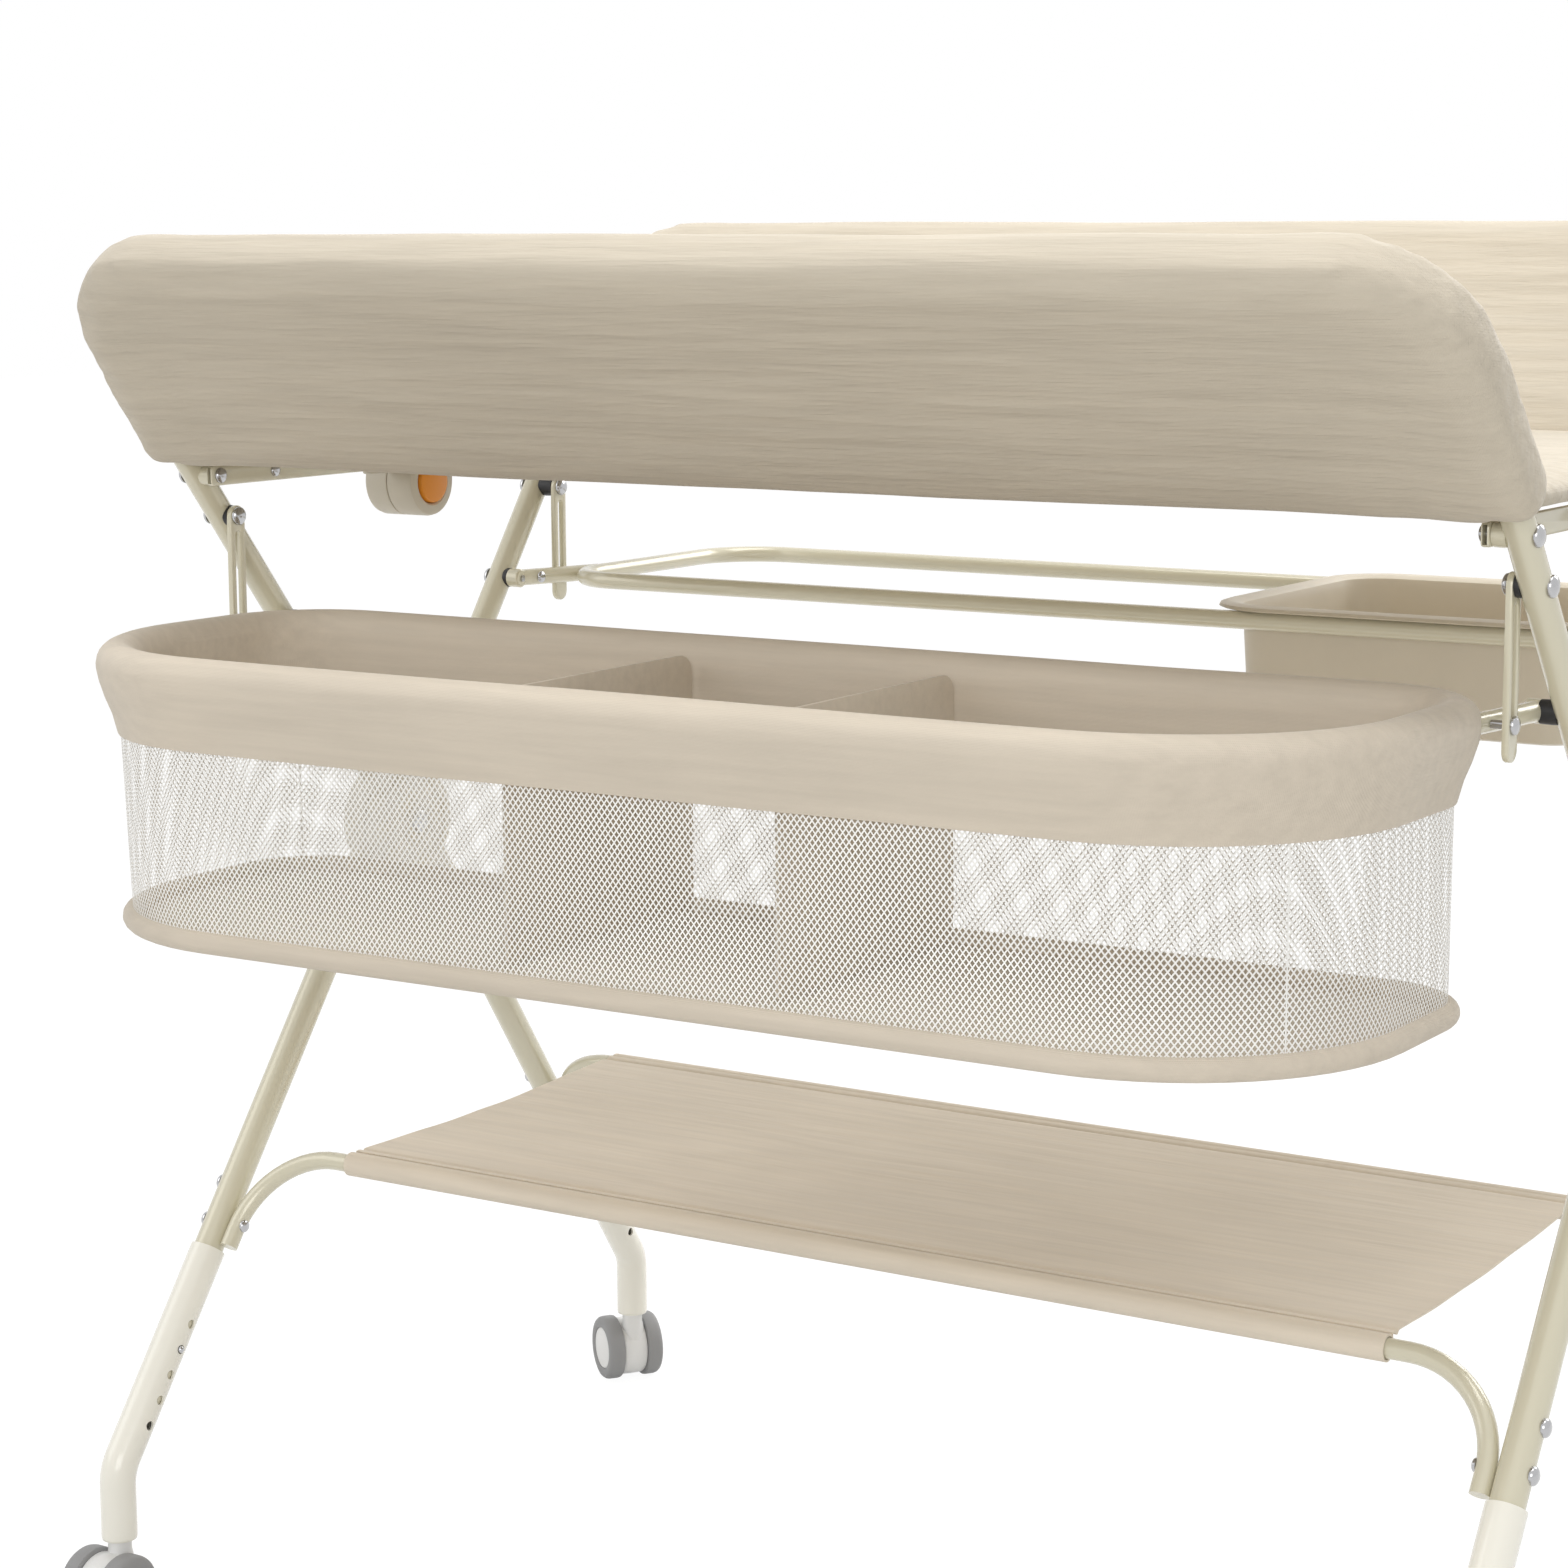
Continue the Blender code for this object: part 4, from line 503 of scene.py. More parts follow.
def woven(name, colour, ripple=1.0):
    """Close plain weave with faint slubs along it and a soft sheen."""
    finish = Finish(name)
    slub = finish.noise(1.0, 4.0, (9.0, 150.0, 150.0))
    patch = finish.noise(5.0, 3.0)
    tone = finish.maths("ADD", finish.maths("MULTIPLY", slub, 0.55), finish.maths("MULTIPLY", patch, 0.45))
    base = finish.blend(finish.ramp(tone, 0.35, 0.65), shade(colour, 0.93), shade(colour, 1.05))
    threads = finish.maths("MULTIPLY", finish.wave(THREADS, "X"), finish.wave(THREADS, "Z"))
    weave = finish.bump(threads, 0.35, 0.0004)
    creases = finish.noise(1.0, 4.0, (7.0, 95.0, 95.0))
    folded = finish.bump(creases, 0.7 * ripple, 0.0030, weave)
    slanted = finish.noise(1.0, 2.0, (60.0, 9.0, 9.0), math.radians(38.0))
    where = finish.ramp(finish.noise(3.2, 1.0), 0.52, 0.70)
    folded = finish.bump(finish.maths("MULTIPLY", slanted, where), 0.5 * ripple, 0.0040, folded)
    return finish.set(
        Base_Color=base, Roughness=finish.spread(slub, 0.78, 0.92), Normal=folded, Sheen_Weight=0.25,
        Sheen_Roughness=0.4, Specular_IOR_Level=0.25,
    )


def lacquer(name, colour, metal, rough):
    """Gloss lacquer over steel with a faint orange peel."""
    finish = Finish(name)
    cloud = finish.noise(6.0, 1.0)
    base = finish.blend(finish.ramp(cloud, 0.2, 0.8), shade(colour, 0.985), shade(colour, 1.01))
    peel = finish.bump(finish.noise(320.0, 1.0), 0.03, 0.0001)
    gloss = finish.spread(finish.noise(40.0, 1.0), rough, rough + 0.03)
    return finish.set(
        Base_Color=base, Roughness=gloss, Normal=peel, Metallic=metal, Coat_Weight=0.5, Coat_Roughness=0.08
    )


def moulded(name, colour, rough=0.42, grain=0.12):
    """Injection-moulded plastic with a fine spark-eroded grain."""
    finish = Finish(name)
    cloud = finish.noise(22.0, 3.0)
    base = finish.blend(finish.ramp(cloud, 0.3, 0.7), shade(colour, 0.97), shade(colour, 1.02))
    texture = finish.bump(finish.noise(1600.0, 2.0), grain, 0.0002)
    wear = finish.spread(finish.noise(90.0, 4.0), rough, rough + 0.1)
    return finish.set(Base_Color=base, Roughness=wear, Normal=texture, Specular_IOR_Level=0.45)


def plated(name, colour):
    finish = Finish(name)
    base = finish.blend(finish.noise(120.0, 2.0), shade(colour, 0.95), colour)
    brushed = finish.bump(finish.noise(900.0, 2.0), 0.04, 0.0001)
    return finish.set(Base_Color=base, Roughness=0.16, Normal=brushed, Metallic=1.0)


def netted(name, colour):
    """Bright knitted thread of the netting."""
    finish = Finish(name)
    base = finish.blend(finish.noise(900.0, 2.0), shade(colour, 0.94), colour)
    strand = finish.bump(finish.noise(2500.0, 2.0), 0.3, 0.0002)
    return finish.set(Base_Color=base, Roughness=0.75, Normal=strand, Sheen_Weight=0.2)


FINISHES = {}


def finishes(context):
    """Every finish, made once from the colours in the panel."""
    if not FINISHES:
        look = context.scene.changing_table
        FINISHES.update(
            guard=woven("Guard cloth", look.guard_colour),
            basket=woven("Basket cloth", look.basket_colour, 0.3),
            # The shelf's cloth is the guards' cloth with a lighter colour. This is painted light that makes up for the
            # shade the bed casts on the shelf.
            shelf=woven("Shelf cloth lightened for shade", look.shelf_lightened_for_shade_colour, 0.4),
            frame=lacquer("Frame lacquer", look.frame_colour, 0.1, 0.24),
            foot=lacquer("Foot lacquer", look.foot_colour, 0.0, 0.22),
            shell=moulded("Fitting plastic", look.fitting_colour),
            bin=moulded("Bin plastic", look.bin_colour, 0.36, 0.06),
            tyre=moulded("Tyre rubber", look.tyre_colour, 0.55, 0.2),
            white=moulded("Caster plastic", look.caster_colour, 0.3, 0.05),
            orange=moulded("Button plastic", look.button_colour, 0.3, 0.05),
            black=moulded("Spacer plastic", (0.02, 0.02, 0.022), 0.4, 0.1),
            steel=plated("Plated steel", (0.50, 0.50, 0.51)),
            net=netted("Netting thread", look.net_colour),
        )
    return FINISHES


def emit(name, bm, finish, body, stands_for=(), sharp=35.0):
    """Turns a bmesh into a piece with its finish, on its body."""
    return place(name, mesh_of(bm, name), finish, body, stands_for, sharp)


def place(name, mesh, finish, body, stands_for=(), sharp=35.0):
    """Makes a mesh a piece; without a body its operator bakes its place into the mesh."""
    mesh.materials.clear()
    mesh.materials.append(finishes(bpy.context)[finish])
    mesh.shade_smooth()
    if sharp:
        mesh.set_sharp_from_angle(angle=math.radians(sharp))
    piece = bpy.data.objects.new(name, mesh)
    bpy.context.scene.collection.objects.link(piece)
    if body:
        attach(piece, body)
    if stands_for:
        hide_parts(*stands_for)
    return piece


def with_modifier(mesh, kind, **settings):
    """The mesh after one modifier."""
    holder = bpy.data.objects.new("holder", mesh)
    bpy.context.scene.collection.objects.link(holder)
    change = holder.modifiers.new("Change", kind)
    for key, value in settings.items():
        setattr(change, key, value)
    bpy.context.view_layer.update()
    seen = holder.evaluated_get(bpy.context.evaluated_depsgraph_get())
    made = bpy.data.meshes.new_from_object(seen)
    bpy.data.objects.remove(holder, do_unlink=True)
    return made


def carved(mesh, cutter_bm):
    """The mesh with the cutters taken away."""
    bmesh.ops.recalc_face_normals(cutter_bm, faces=cutter_bm.faces)
    cutter_mesh = bpy.data.meshes.new("cutter")
    cutter_bm.to_mesh(cutter_mesh)
    cutter_bm.free()
    cutter = bpy.data.objects.new("cutter", cutter_mesh)
    bpy.context.scene.collection.objects.link(cutter)
    made = with_modifier(mesh, "BOOLEAN", operation="DIFFERENCE", solver="EXACT", object=cutter)
    bpy.data.objects.remove(cutter, do_unlink=True)
    return made


def mesh_of(bm, name="source"):
    bmesh.ops.remove_doubles(bm, verts=bm.verts, dist=1e-6)
    bmesh.ops.recalc_face_normals(bm, faces=bm.faces)
    mesh = bpy.data.meshes.new(name)
    bm.to_mesh(mesh)
    bm.free()
    return mesh


def smoothed(mesh, rounds, factor=0.5):
    bm = bmesh.new()
    bm.from_mesh(mesh)
    for _ in range(rounds):
        bmesh.ops.smooth_vert(
            bm, verts=bm.verts, factor=factor, use_axis_x=True, use_axis_y=True, use_axis_z=True
        )
    bm.to_mesh(mesh)
    bm.free()
    return mesh


def inflated(mesh, pressure, cap, frames=20):
    """Runs the cloth under pressure and keeps each point within the cap of its start."""
    holder = bpy.data.objects.new("cloth", mesh)
    bpy.context.scene.collection.objects.link(holder)
    cloth = holder.modifiers.new("Cloth", "CLOTH")
    cloth.settings.use_pressure = True
    cloth.settings.uniform_pressure_force = pressure
    cloth.settings.effector_weights.gravity = 0.0
    cloth.settings.quality = 4
    cloth.settings.mass = 0.3
    cloth.point_cache.frame_end = frames
    starts = [vert.co.copy() for vert in mesh.vertices]
    for number in range(1, frames + 1):
        bpy.context.scene.frame_set(number)
    seen = holder.evaluated_get(bpy.context.evaluated_depsgraph_get())
    made = bpy.data.meshes.new_from_object(seen)
    for vert, start in zip(made.vertices, starts):
        move = vert.co - start
        if move.length > cap:
            vert.co = start + move.normalized() * cap
    bpy.data.objects.remove(holder, do_unlink=True)
    bpy.context.scene.frame_set(1)
    return made


def rippled(mesh, height, size, seed):
    """Moves each point along its normal by smooth noise drawn out along X."""
    moves = []
    for vert in mesh.vertices:
        at = Vector((vert.co.x * size[0], vert.co.y * size[1], vert.co.z * size[2])) + Vector((seed, seed, seed))
        moves.append(vert.normal * noise.noise(at) * height)
    for vert, move in zip(mesh.vertices, moves):
        vert.co += move
    mesh.update()
    return mesh


# ---------------------------------------------------------------- panel values


class ChangingTableLook(bpy.types.PropertyGroup):
    guard_colour: FloatVectorProperty(
        name="Guard cloth", description="Colour of the padded guards and bed",
        default=(0.63, 0.565, 0.46), subtype="COLOR", min=0.0, max=1.0)
    basket_colour: FloatVectorProperty(
        name="Basket cloth", description="Colour of the basket's band, base and dividers",
        default=(0.70, 0.622, 0.515), subtype="COLOR", min=0.0, max=1.0)
    # Painted light: the same cloth as the guards, written lighter to make up for the shade under the bed.
    shelf_lightened_for_shade_colour: FloatVectorProperty(
        name="Shelf cloth lightened for shade", description="Colour of the bottom shelf's cloth",
        default=(0.83, 0.74, 0.615), subtype="COLOR", min=0.0, max=1.0)
    net_colour: FloatVectorProperty(
        name="Netting", description="Colour of the basket's netting thread",
        default=(0.97, 0.96, 0.93), subtype="COLOR", min=0.0, max=1.0)
    frame_colour: FloatVectorProperty(
        name="Frame lacquer", description="Colour of the steel tubes",
        default=(0.70, 0.66, 0.51), subtype="COLOR", min=0.0, max=1.0)
    foot_colour: FloatVectorProperty(
        name="Foot lacquer", description="Colour of the telescoping feet",
        default=(0.95, 0.925, 0.83), subtype="COLOR", min=0.0, max=1.0)
    fitting_colour: FloatVectorProperty(
        name="Fittings", description="Colour of the hubs and locks",
        default=(0.66, 0.61, 0.51), subtype="COLOR", min=0.0, max=1.0)
    bin_colour: FloatVectorProperty(
        name="Bin", description="Colour of the hanging bin",
        default=(0.67, 0.60, 0.48), subtype="COLOR", min=0.0, max=1.0)
    tyre_colour: FloatVectorProperty(
        name="Tyres", description="Colour of the caster tyres",
        default=(0.33, 0.33, 0.335), subtype="COLOR", min=0.0, max=1.0)
    caster_colour: FloatVectorProperty(
        name="Casters", description="Colour of the caster bodies and wheel discs",
        default=(0.88, 0.88, 0.87), subtype="COLOR", min=0.0, max=1.0)
    button_colour: FloatVectorProperty(
        name="Lock buttons", description="Colour of the lock buttons",
        default=(0.86, 0.31, 0.02), subtype="COLOR", min=0.0, max=1.0)


class ChangingTableSizes(bpy.types.PropertyGroup):
    roll_radius: FloatProperty(
        name="Guard roll", description="Half thickness of the padded roll over each hoop before it is filled",
        default=0.0190, unit="LENGTH", min=0.010, max=0.030)
    panel_thickness: FloatProperty(
        name="Guard panel", description="Thickness of the padding between a hoop's legs",
        default=0.0280, unit="LENGTH", min=0.006, max=0.036)
    voxel: FloatProperty(
        name="Padding mesh", description="Mesh size of the padded pieces",
        default=0.0060, unit="LENGTH", min=0.003, max=0.010)
    net_width: FloatProperty(
        name="Net cell width", description="Width of one diamond of the netting",
        default=0.00375, unit="LENGTH", min=0.002, max=0.010)
    net_height: FloatProperty(
        name="Net cell height", description="Height of one diamond of the netting",
        default=0.0047, unit="LENGTH", min=0.002, max=0.010)
    net_thread: FloatProperty(
        name="Net thread", description="Width of the netting's thread",
        default=0.0009, unit="LENGTH", min=0.0002, max=0.002)
    tube_segments: IntProperty(
        name="Tube segments", description="Faces round each tube", default=28, min=12, max=64)
    lens: FloatProperty(
        name="Lens", description="Focal length of the camera, in millimetres",
        default=81.17, min=20.0, max=200.0)


class TableOperator(bpy.types.Operator):
    """Base of the operators: hands the panel's sizes to make."""

    bl_options = {"REGISTER", "UNDO"}

    def execute(self, context):
        self.make(context, context.scene.changing_table_sizes)
        return {"FINISHED"}


# ---------------------------------------------------------------- stage


class OBJECT_OT_table_stage(TableOperator):
    """Add the camera, lights, floor and pale surroundings"""

    bl_idname = "object.table_stage"
    bl_label = "Stage"

    def make(self, context, sizes):
        scene = context.scene
        scene.view_settings.view_transform = "Standard"
        data = bpy.data.cameras.new("camera")
        data.lens = sizes.lens
        data.sensor_width = 36.0
        data.clip_end = 50.0
        camera = bpy.data.objects.new("camera", data)
        scene.collection.objects.link(camera)
        yaw, pitch, roll = (math.radians(angle) for angle in CAMERA_TURN)
        forward = Vector((-math.sin(yaw) * math.cos(pitch), math.cos(yaw) * math.cos(pitch), math.sin(pitch)))
        level = forward.cross(AXIS_Z).normalized()
        upright = level.cross(forward).normalized()
        right = level * math.cos(roll) + upright * math.sin(roll)
        up = right.cross(forward).normalized()
        rows = [(right[i], up[i], -forward[i], CAMERA_SPOT[i]) for i in range(3)]
        camera.matrix_world = Matrix(rows + [(0.0, 0.0, 0.0, 1.0)])
        scene.camera = camera
        self.surroundings(scene)
        self.floor(scene)
        for row in LIGHTS:
            self.lamp(scene, *row)

    def lamp(self, scene, name, spot, target, size, power):
        data = bpy.data.lights.new(name, "AREA")
        data.shape = "RECTANGLE"
        data.size, data.size_y = size
        data.energy = power
        lamp = bpy.data.objects.new(name, data)
        lamp.location = spot
        lamp.rotation_euler = (Vector(target) - Vector(spot)).to_track_quat("-Z", "Y").to_euler()
        scene.collection.objects.link(lamp)

    def seen_directly(self, tree):
        path = tree.nodes.new("ShaderNodeLightPath")
        share = path.outputs["Is Camera Ray"]
        for other in ("Is Glossy Ray", "Is Transmission Ray"):
            add = tree.nodes.new("ShaderNodeMath")
            add.operation = "MAXIMUM"
            tree.links.new(share, add.inputs[0])
            tree.links.new(path.outputs[other], add.inputs[1])
            share = add.outputs[0]
        return share

    def surroundings(self, scene):
        world = bpy.data.worlds.new("surroundings")
        world.use_nodes = True
        scene.world = world
        tree = world.node_tree
        light = tree.nodes["Background"]
        light.inputs["Color"].default_value = (1.0, 0.99, 0.97, 1.0)
        light.inputs["Strength"].default_value = SKY_LIGHT
        white = tree.nodes.new("ShaderNodeBackground")
        white.inputs["Strength"].default_value = 1.0
        white.inputs["Color"].default_value = (1.0, 1.0, 1.0, 1.0)
        mixed = tree.nodes.new("ShaderNodeMixShader")
        tree.links.new(self.seen_directly(tree), mixed.inputs[0])
        tree.links.new(light.outputs[0], mixed.inputs[1])
        tree.links.new(white.outputs[0], mixed.inputs[2])
        tree.links.new(mixed.outputs[0], tree.nodes["World Output"].inputs["Surface"])

    def floor(self, scene):
        bm = bmesh.new()
        bmesh.ops.create_grid(bm, x_segments=2, y_segments=2, size=14.0)
        mesh = bpy.data.meshes.new("floor")
        bm.to_mesh(mesh)
        bm.free()
        material = bpy.data.materials.new("Pale floor")
        material.use_nodes = True
        tree = material.node_tree
        shader = tree.nodes["Principled BSDF"]
        shader.inputs["Base Color"].default_value = (0.70, 0.70, 0.69, 1.0)
        shader.inputs["Roughness"].default_value = 0.9
        glow = tree.nodes.new("ShaderNodeEmission")
        glow.inputs["Strength"].default_value = FLOOR_GLOW
        part = tree.nodes.new("ShaderNodeMath")
        part.operation = "MULTIPLY"
        part.inputs[1].default_value = FLOOR_SHARE
        tree.links.new(self.seen_directly(tree), part.inputs[0])
        mixed = tree.nodes.new("ShaderNodeMixShader")
        tree.links.new(part.outputs[0], mixed.inputs[0])
        tree.links.new(shader.outputs[0], mixed.inputs[1])
        tree.links.new(glow.outputs[0], mixed.inputs[2])
        tree.links.new(mixed.outputs[0], tree.nodes["Material Output"].inputs["Surface"])
        mesh.materials.append(material)
        floor = bpy.data.objects.new("floor", mesh)
        scene.collection.objects.link(floor)


# ---------------------------------------------------------------- frame


class OBJECT_OT_table_tubes(TableOperator):
    """Add the two hoops and the four legs"""

    bl_idname = "object.table_tubes"
    bl_label = "Hoops and legs"

    def make(self, context, sizes):
        count = sizes.tube_segments
        rows = (
            ("front_hoop", "front_upper", FRONT_X, FRONT_HOOP, "front_frame"),
            ("back_hoop", "back_upper", BACK_X, BACK_HOOP, "back_frame"),
        )
        for name, kind, x, length, body in rows:
            bm = bmesh.new()
            normal = plane_normal(kind)
            sweep(bm, hoop_path(kind, x, length, TUBE_START), normal, UPPER_R, count)
            emit(name + "_tube", bm, "frame", body, [name])
        legs = (
            ("leg_back", "front_lower", FRONT_X, BACK_LEG, "front_frame"),
            ("leg_front", "back_lower", BACK_X, FRONT_LEG, "back_frame"),
        )
        for label, kind, x, length, body in legs:
            for side_name, side in SIDES:
                bm = bmesh.new()
                rod(bm, on_leg(kind, x * side, TUBE_START), on_leg(kind, x * side, length), LOWER_R, count)
                emit(f"{label}_{side_name}_tube", bm, "frame", body, [f"{label}_{side_name}"])


class OBJECT_OT_table_hubs(TableOperator):
    """Add the two halves of each crossing hub"""

    bl_idname = "object.table_hubs"
    bl_label = "Crossing hubs"

    def make(self, context, sizes):
        rows = (
            ("inner", "front_frame", FRONT_X, (("front_upper", UPPER_R), ("front_lower", LOWER_R))),
            ("outer", "back_frame", BACK_X, (("back_upper", UPPER_R), ("back_lower", LOWER_R))),
        )
        for side_name, side in SIDES:
            for half, body, x, tubes in rows:
                bm = bmesh.new()
                near, far = HUB_FACES[half]
                face, join = (near, far) if half == "inner" else (far, near)
                outward = 1 if half == "outer" else -1
                thick = abs(join - face)
                axis = AXIS_X * side * outward
                start = CROSSING + AXIS_X * side * join
                profile = [
                    (0.0, 0.0), (0.0368, 0.0), (0.0370, 0.0006), (0.0370, thick - 0.0028), (0.0362, thick - 0.0008),
                    (0.0342, thick), (0.0290, thick), (0.0280, thick - 0.0012), (0.0150, thick - 0.0012),
                    (0.0140, thick), (0.0125, thick + 0.0006), (0.0118, thick + 0.0006), (0.0110, thick - 0.0004),
                    (0.0, thick - 0.0004),
                ]
                lathe(bm, profile, start, axis, 64)
                for kind, tube_r in tubes:
                    self.sleeve(bm, kind, x * side, tube_r)
                emit(f"hub_{half}_{side_name}_shell", bm, "shell", body, [f"hub_{half}_{side_name}"])
                cap = bmesh.new()
                dome(cap, start + axis * (thick - 0.0004), axis, 0.0085, 0.0026, 28)
                emit(f"hub_{half}_{side_name}_cap", cap, "steel", body)

    def sleeve(self, bm, kind, x, tube_r):
        """Socket that grips the tube, with a rolled mouth."""
        start = on_leg(kind, x, 0.018)
        axis = leg_line(kind)[1]
        wall = tube_r + 0.0024
        profile = [
            (0.0, 0.0), (wall, 0.0), (wall, 0.0400), (wall + 0.0008, 0.0412), (wall + 0.0008, 0.0448),
            (wall + 0.0002, 0.0460), (tube_r + 0.0003, 0.0460), (tube_r + 0.0003, 0.0420), (0.0, 0.0420),
        ]
        lathe(bm, profile, start, axis, 40)


class OBJECT_OT_table_feet(TableOperator):
    """Add the telescoping feet with their height holes and spring buttons"""

    bl_idname = "object.table_feet"
    bl_label = "Feet"

    def make(self, context, sizes):
        for spot, kind, x, side, _, _ in FEET:
            top = at_height(kind, x * side, FOOT_TOP)
            bend = at_height(kind, x * side, FOOT_BEND)
            path = rounded_path([top, bend, Vector((x * side, bend.y, FOOT_BOTTOM))], FOOT_CURVE, 10)
            along = leg_line(kind)[1]
            bm = bmesh.new()
            inner = FOOT_R - FOOT_WALL
            sweep(bm, path, AXIS_X, FOOT_R, 36, caps=False)
            bmesh.ops.solidify(bm, geom=bm.faces[:], thickness=FOOT_WALL)
            mesh = mesh_of(bm)
            cuts = bmesh.new()
            inward = -AXIS_X * side
            button = at_height(kind, x * side, BUTTON_Z)
            for index in range(-1, 4):
                centre = button + along * HOLE_PITCH * index
                rod(cuts, centre + inward * FOOT_R * 0.4, centre + inward * FOOT_R * 1.5, HOLE_R, 20)
            place(f"foot_{spot}_tube", carved(mesh, cuts), "foot", f"foot_{spot}", [f"foot_{spot}"])
            plug = bmesh.new()
            base = path[-1]
            profile = [
                (0.0, 0.010), (inner - 0.0001, 0.010), (inner - 0.0001, 0.0), (FOOT_R - 0.0002, -0.0002),
                (FOOT_R - 0.0004, -0.0012), (0.0, -0.0012),
            ]
            lathe(plug, profile, base, AXIS_Z, 32)
            emit(f"foot_{spot}_plug", plug, "foot", f"foot_{spot}")
            pin = bmesh.new()
            tail = button + inward * (LOWER_R - 0.0042)
            profile = [
                (0.0, 0.0), (0.0025, 0.0), (0.0025, 0.0052), (0.0022, 0.0066), (0.0014, 0.0074), (0.0, 0.0077),
            ]
            lathe(pin, profile, tail, inward, 20)
            emit(f"snap_button_{spot}_pin", pin, "steel", f"snap_button_{spot}", [f"snap_button_{spot}"])


class OBJECT_OT_table_casters(TableOperator):
    """Add the twin-wheel casters, with pedals at the front"""

    bl_idname = "object.table_casters"
    bl_label = "Casters"

    def make(self, context, sizes):
        for spot, kind, x, side, heading, braked in FEET:
            bend = at_height(kind, x * side, FOOT_BEND)
            turn = Matrix.Translation((x * side, bend.y, 0.0)) @ Matrix.Rotation(math.radians(heading), 4, "Z")
            axle = turn @ Vector((CASTER_TRAIL, 0.0, WHEEL_R))
            across = (turn.to_3x3() @ Vector((0.0, 1.0, 0.0))).normalized()
            bm = bmesh.new()
            half = CASTER_HALF
            lathe(bm, [(0.0, -half), (0.0216, -half), (0.0225, -half + 0.0012), (0.0228, 0.0),
                       (0.0225, half - 0.0012), (0.0216, half), (0.0, half)], axle, across, 48)
            if braked:  # the pedal's slot is cut while the drum is one closed shell
                cuts = bmesh.new()
                block(cuts, Vector((0.0230, -0.0070, 0.0305)), Vector((0.0560, 0.0070, 0.0387)))
                bmesh.ops.transform(cuts, matrix=turn, verts=cuts.verts)
                drum = carved(mesh_of(bm), cuts)
                bm = bmesh.new()
                bm.from_mesh(drum)
            neck = turn @ Vector((0.0, 0.0, WHEEL_R))
            lathe(bm, [(0.0, 0.0), (0.0088, 0.0), (0.0086, 0.020), (0.0078, 0.0235), (0.0078, 0.0305),
                       (0.0072, 0.0312), (0.0, 0.0312)], neck, AXIS_Z, 32)
            emit(f"caster_{spot}_body", bm, "white", f"caster_{spot}", [f"caster_{spot}"])
            for letter, way in (("a", 1), ("b", -1)):
                self.wheel(f"wheel_{spot}_{letter}", axle, across * way)
            if braked:
                self.pedal(f"brake_{spot}", turn)

    def wheel(self, name, axle, out):
        start = axle + out * (CASTER_HALF + WHEEL_GAP)
        tyre = bmesh.new()
        lathe(tyre, [(0.0165, 0.0), (0.0235, 0.0), (0.0247, 0.0006), (0.0250, 0.0020), (0.0250, 0.0082),
                     (0.0246, 0.0102), (0.0234, 0.0118), (0.0214, 0.0125), (0.0180, 0.0125), (0.0168, 0.0120),
                     (0.0165, 0.0112), (0.0165, 0.0)], start, out, 56)
        emit(name + "_tyre", tyre, "tyre", name, [name])
        disc = bmesh.new()
        lathe(disc, [(0.0, 0.0006), (0.0164, 0.0006), (0.0164, 0.0110), (0.0158, 0.0117), (0.0120, 0.0121),
                     (0.0060, 0.0123), (0.0, 0.0123)], start, out, 40)
        emit(name + "_disc", disc, "white", name)

    def pedal(self, name, turn):
        """Foot pedal: a lever with a raised toe pad."""
        bm = bmesh.new()
        block(bm, Vector((0.0242, -0.0064, 0.0351)), Vector((0.0440, 0.0064, 0.0378)), 0.0009)
        block(bm, Vector((0.0380, -0.0064, 0.0356)), Vector((0.0440, 0.0064, 0.0396)), 0.0012)
        bmesh.ops.transform(bm, matrix=turn, verts=bm.verts)
        emit(name + "_pedal", bm, "white", name, [name])


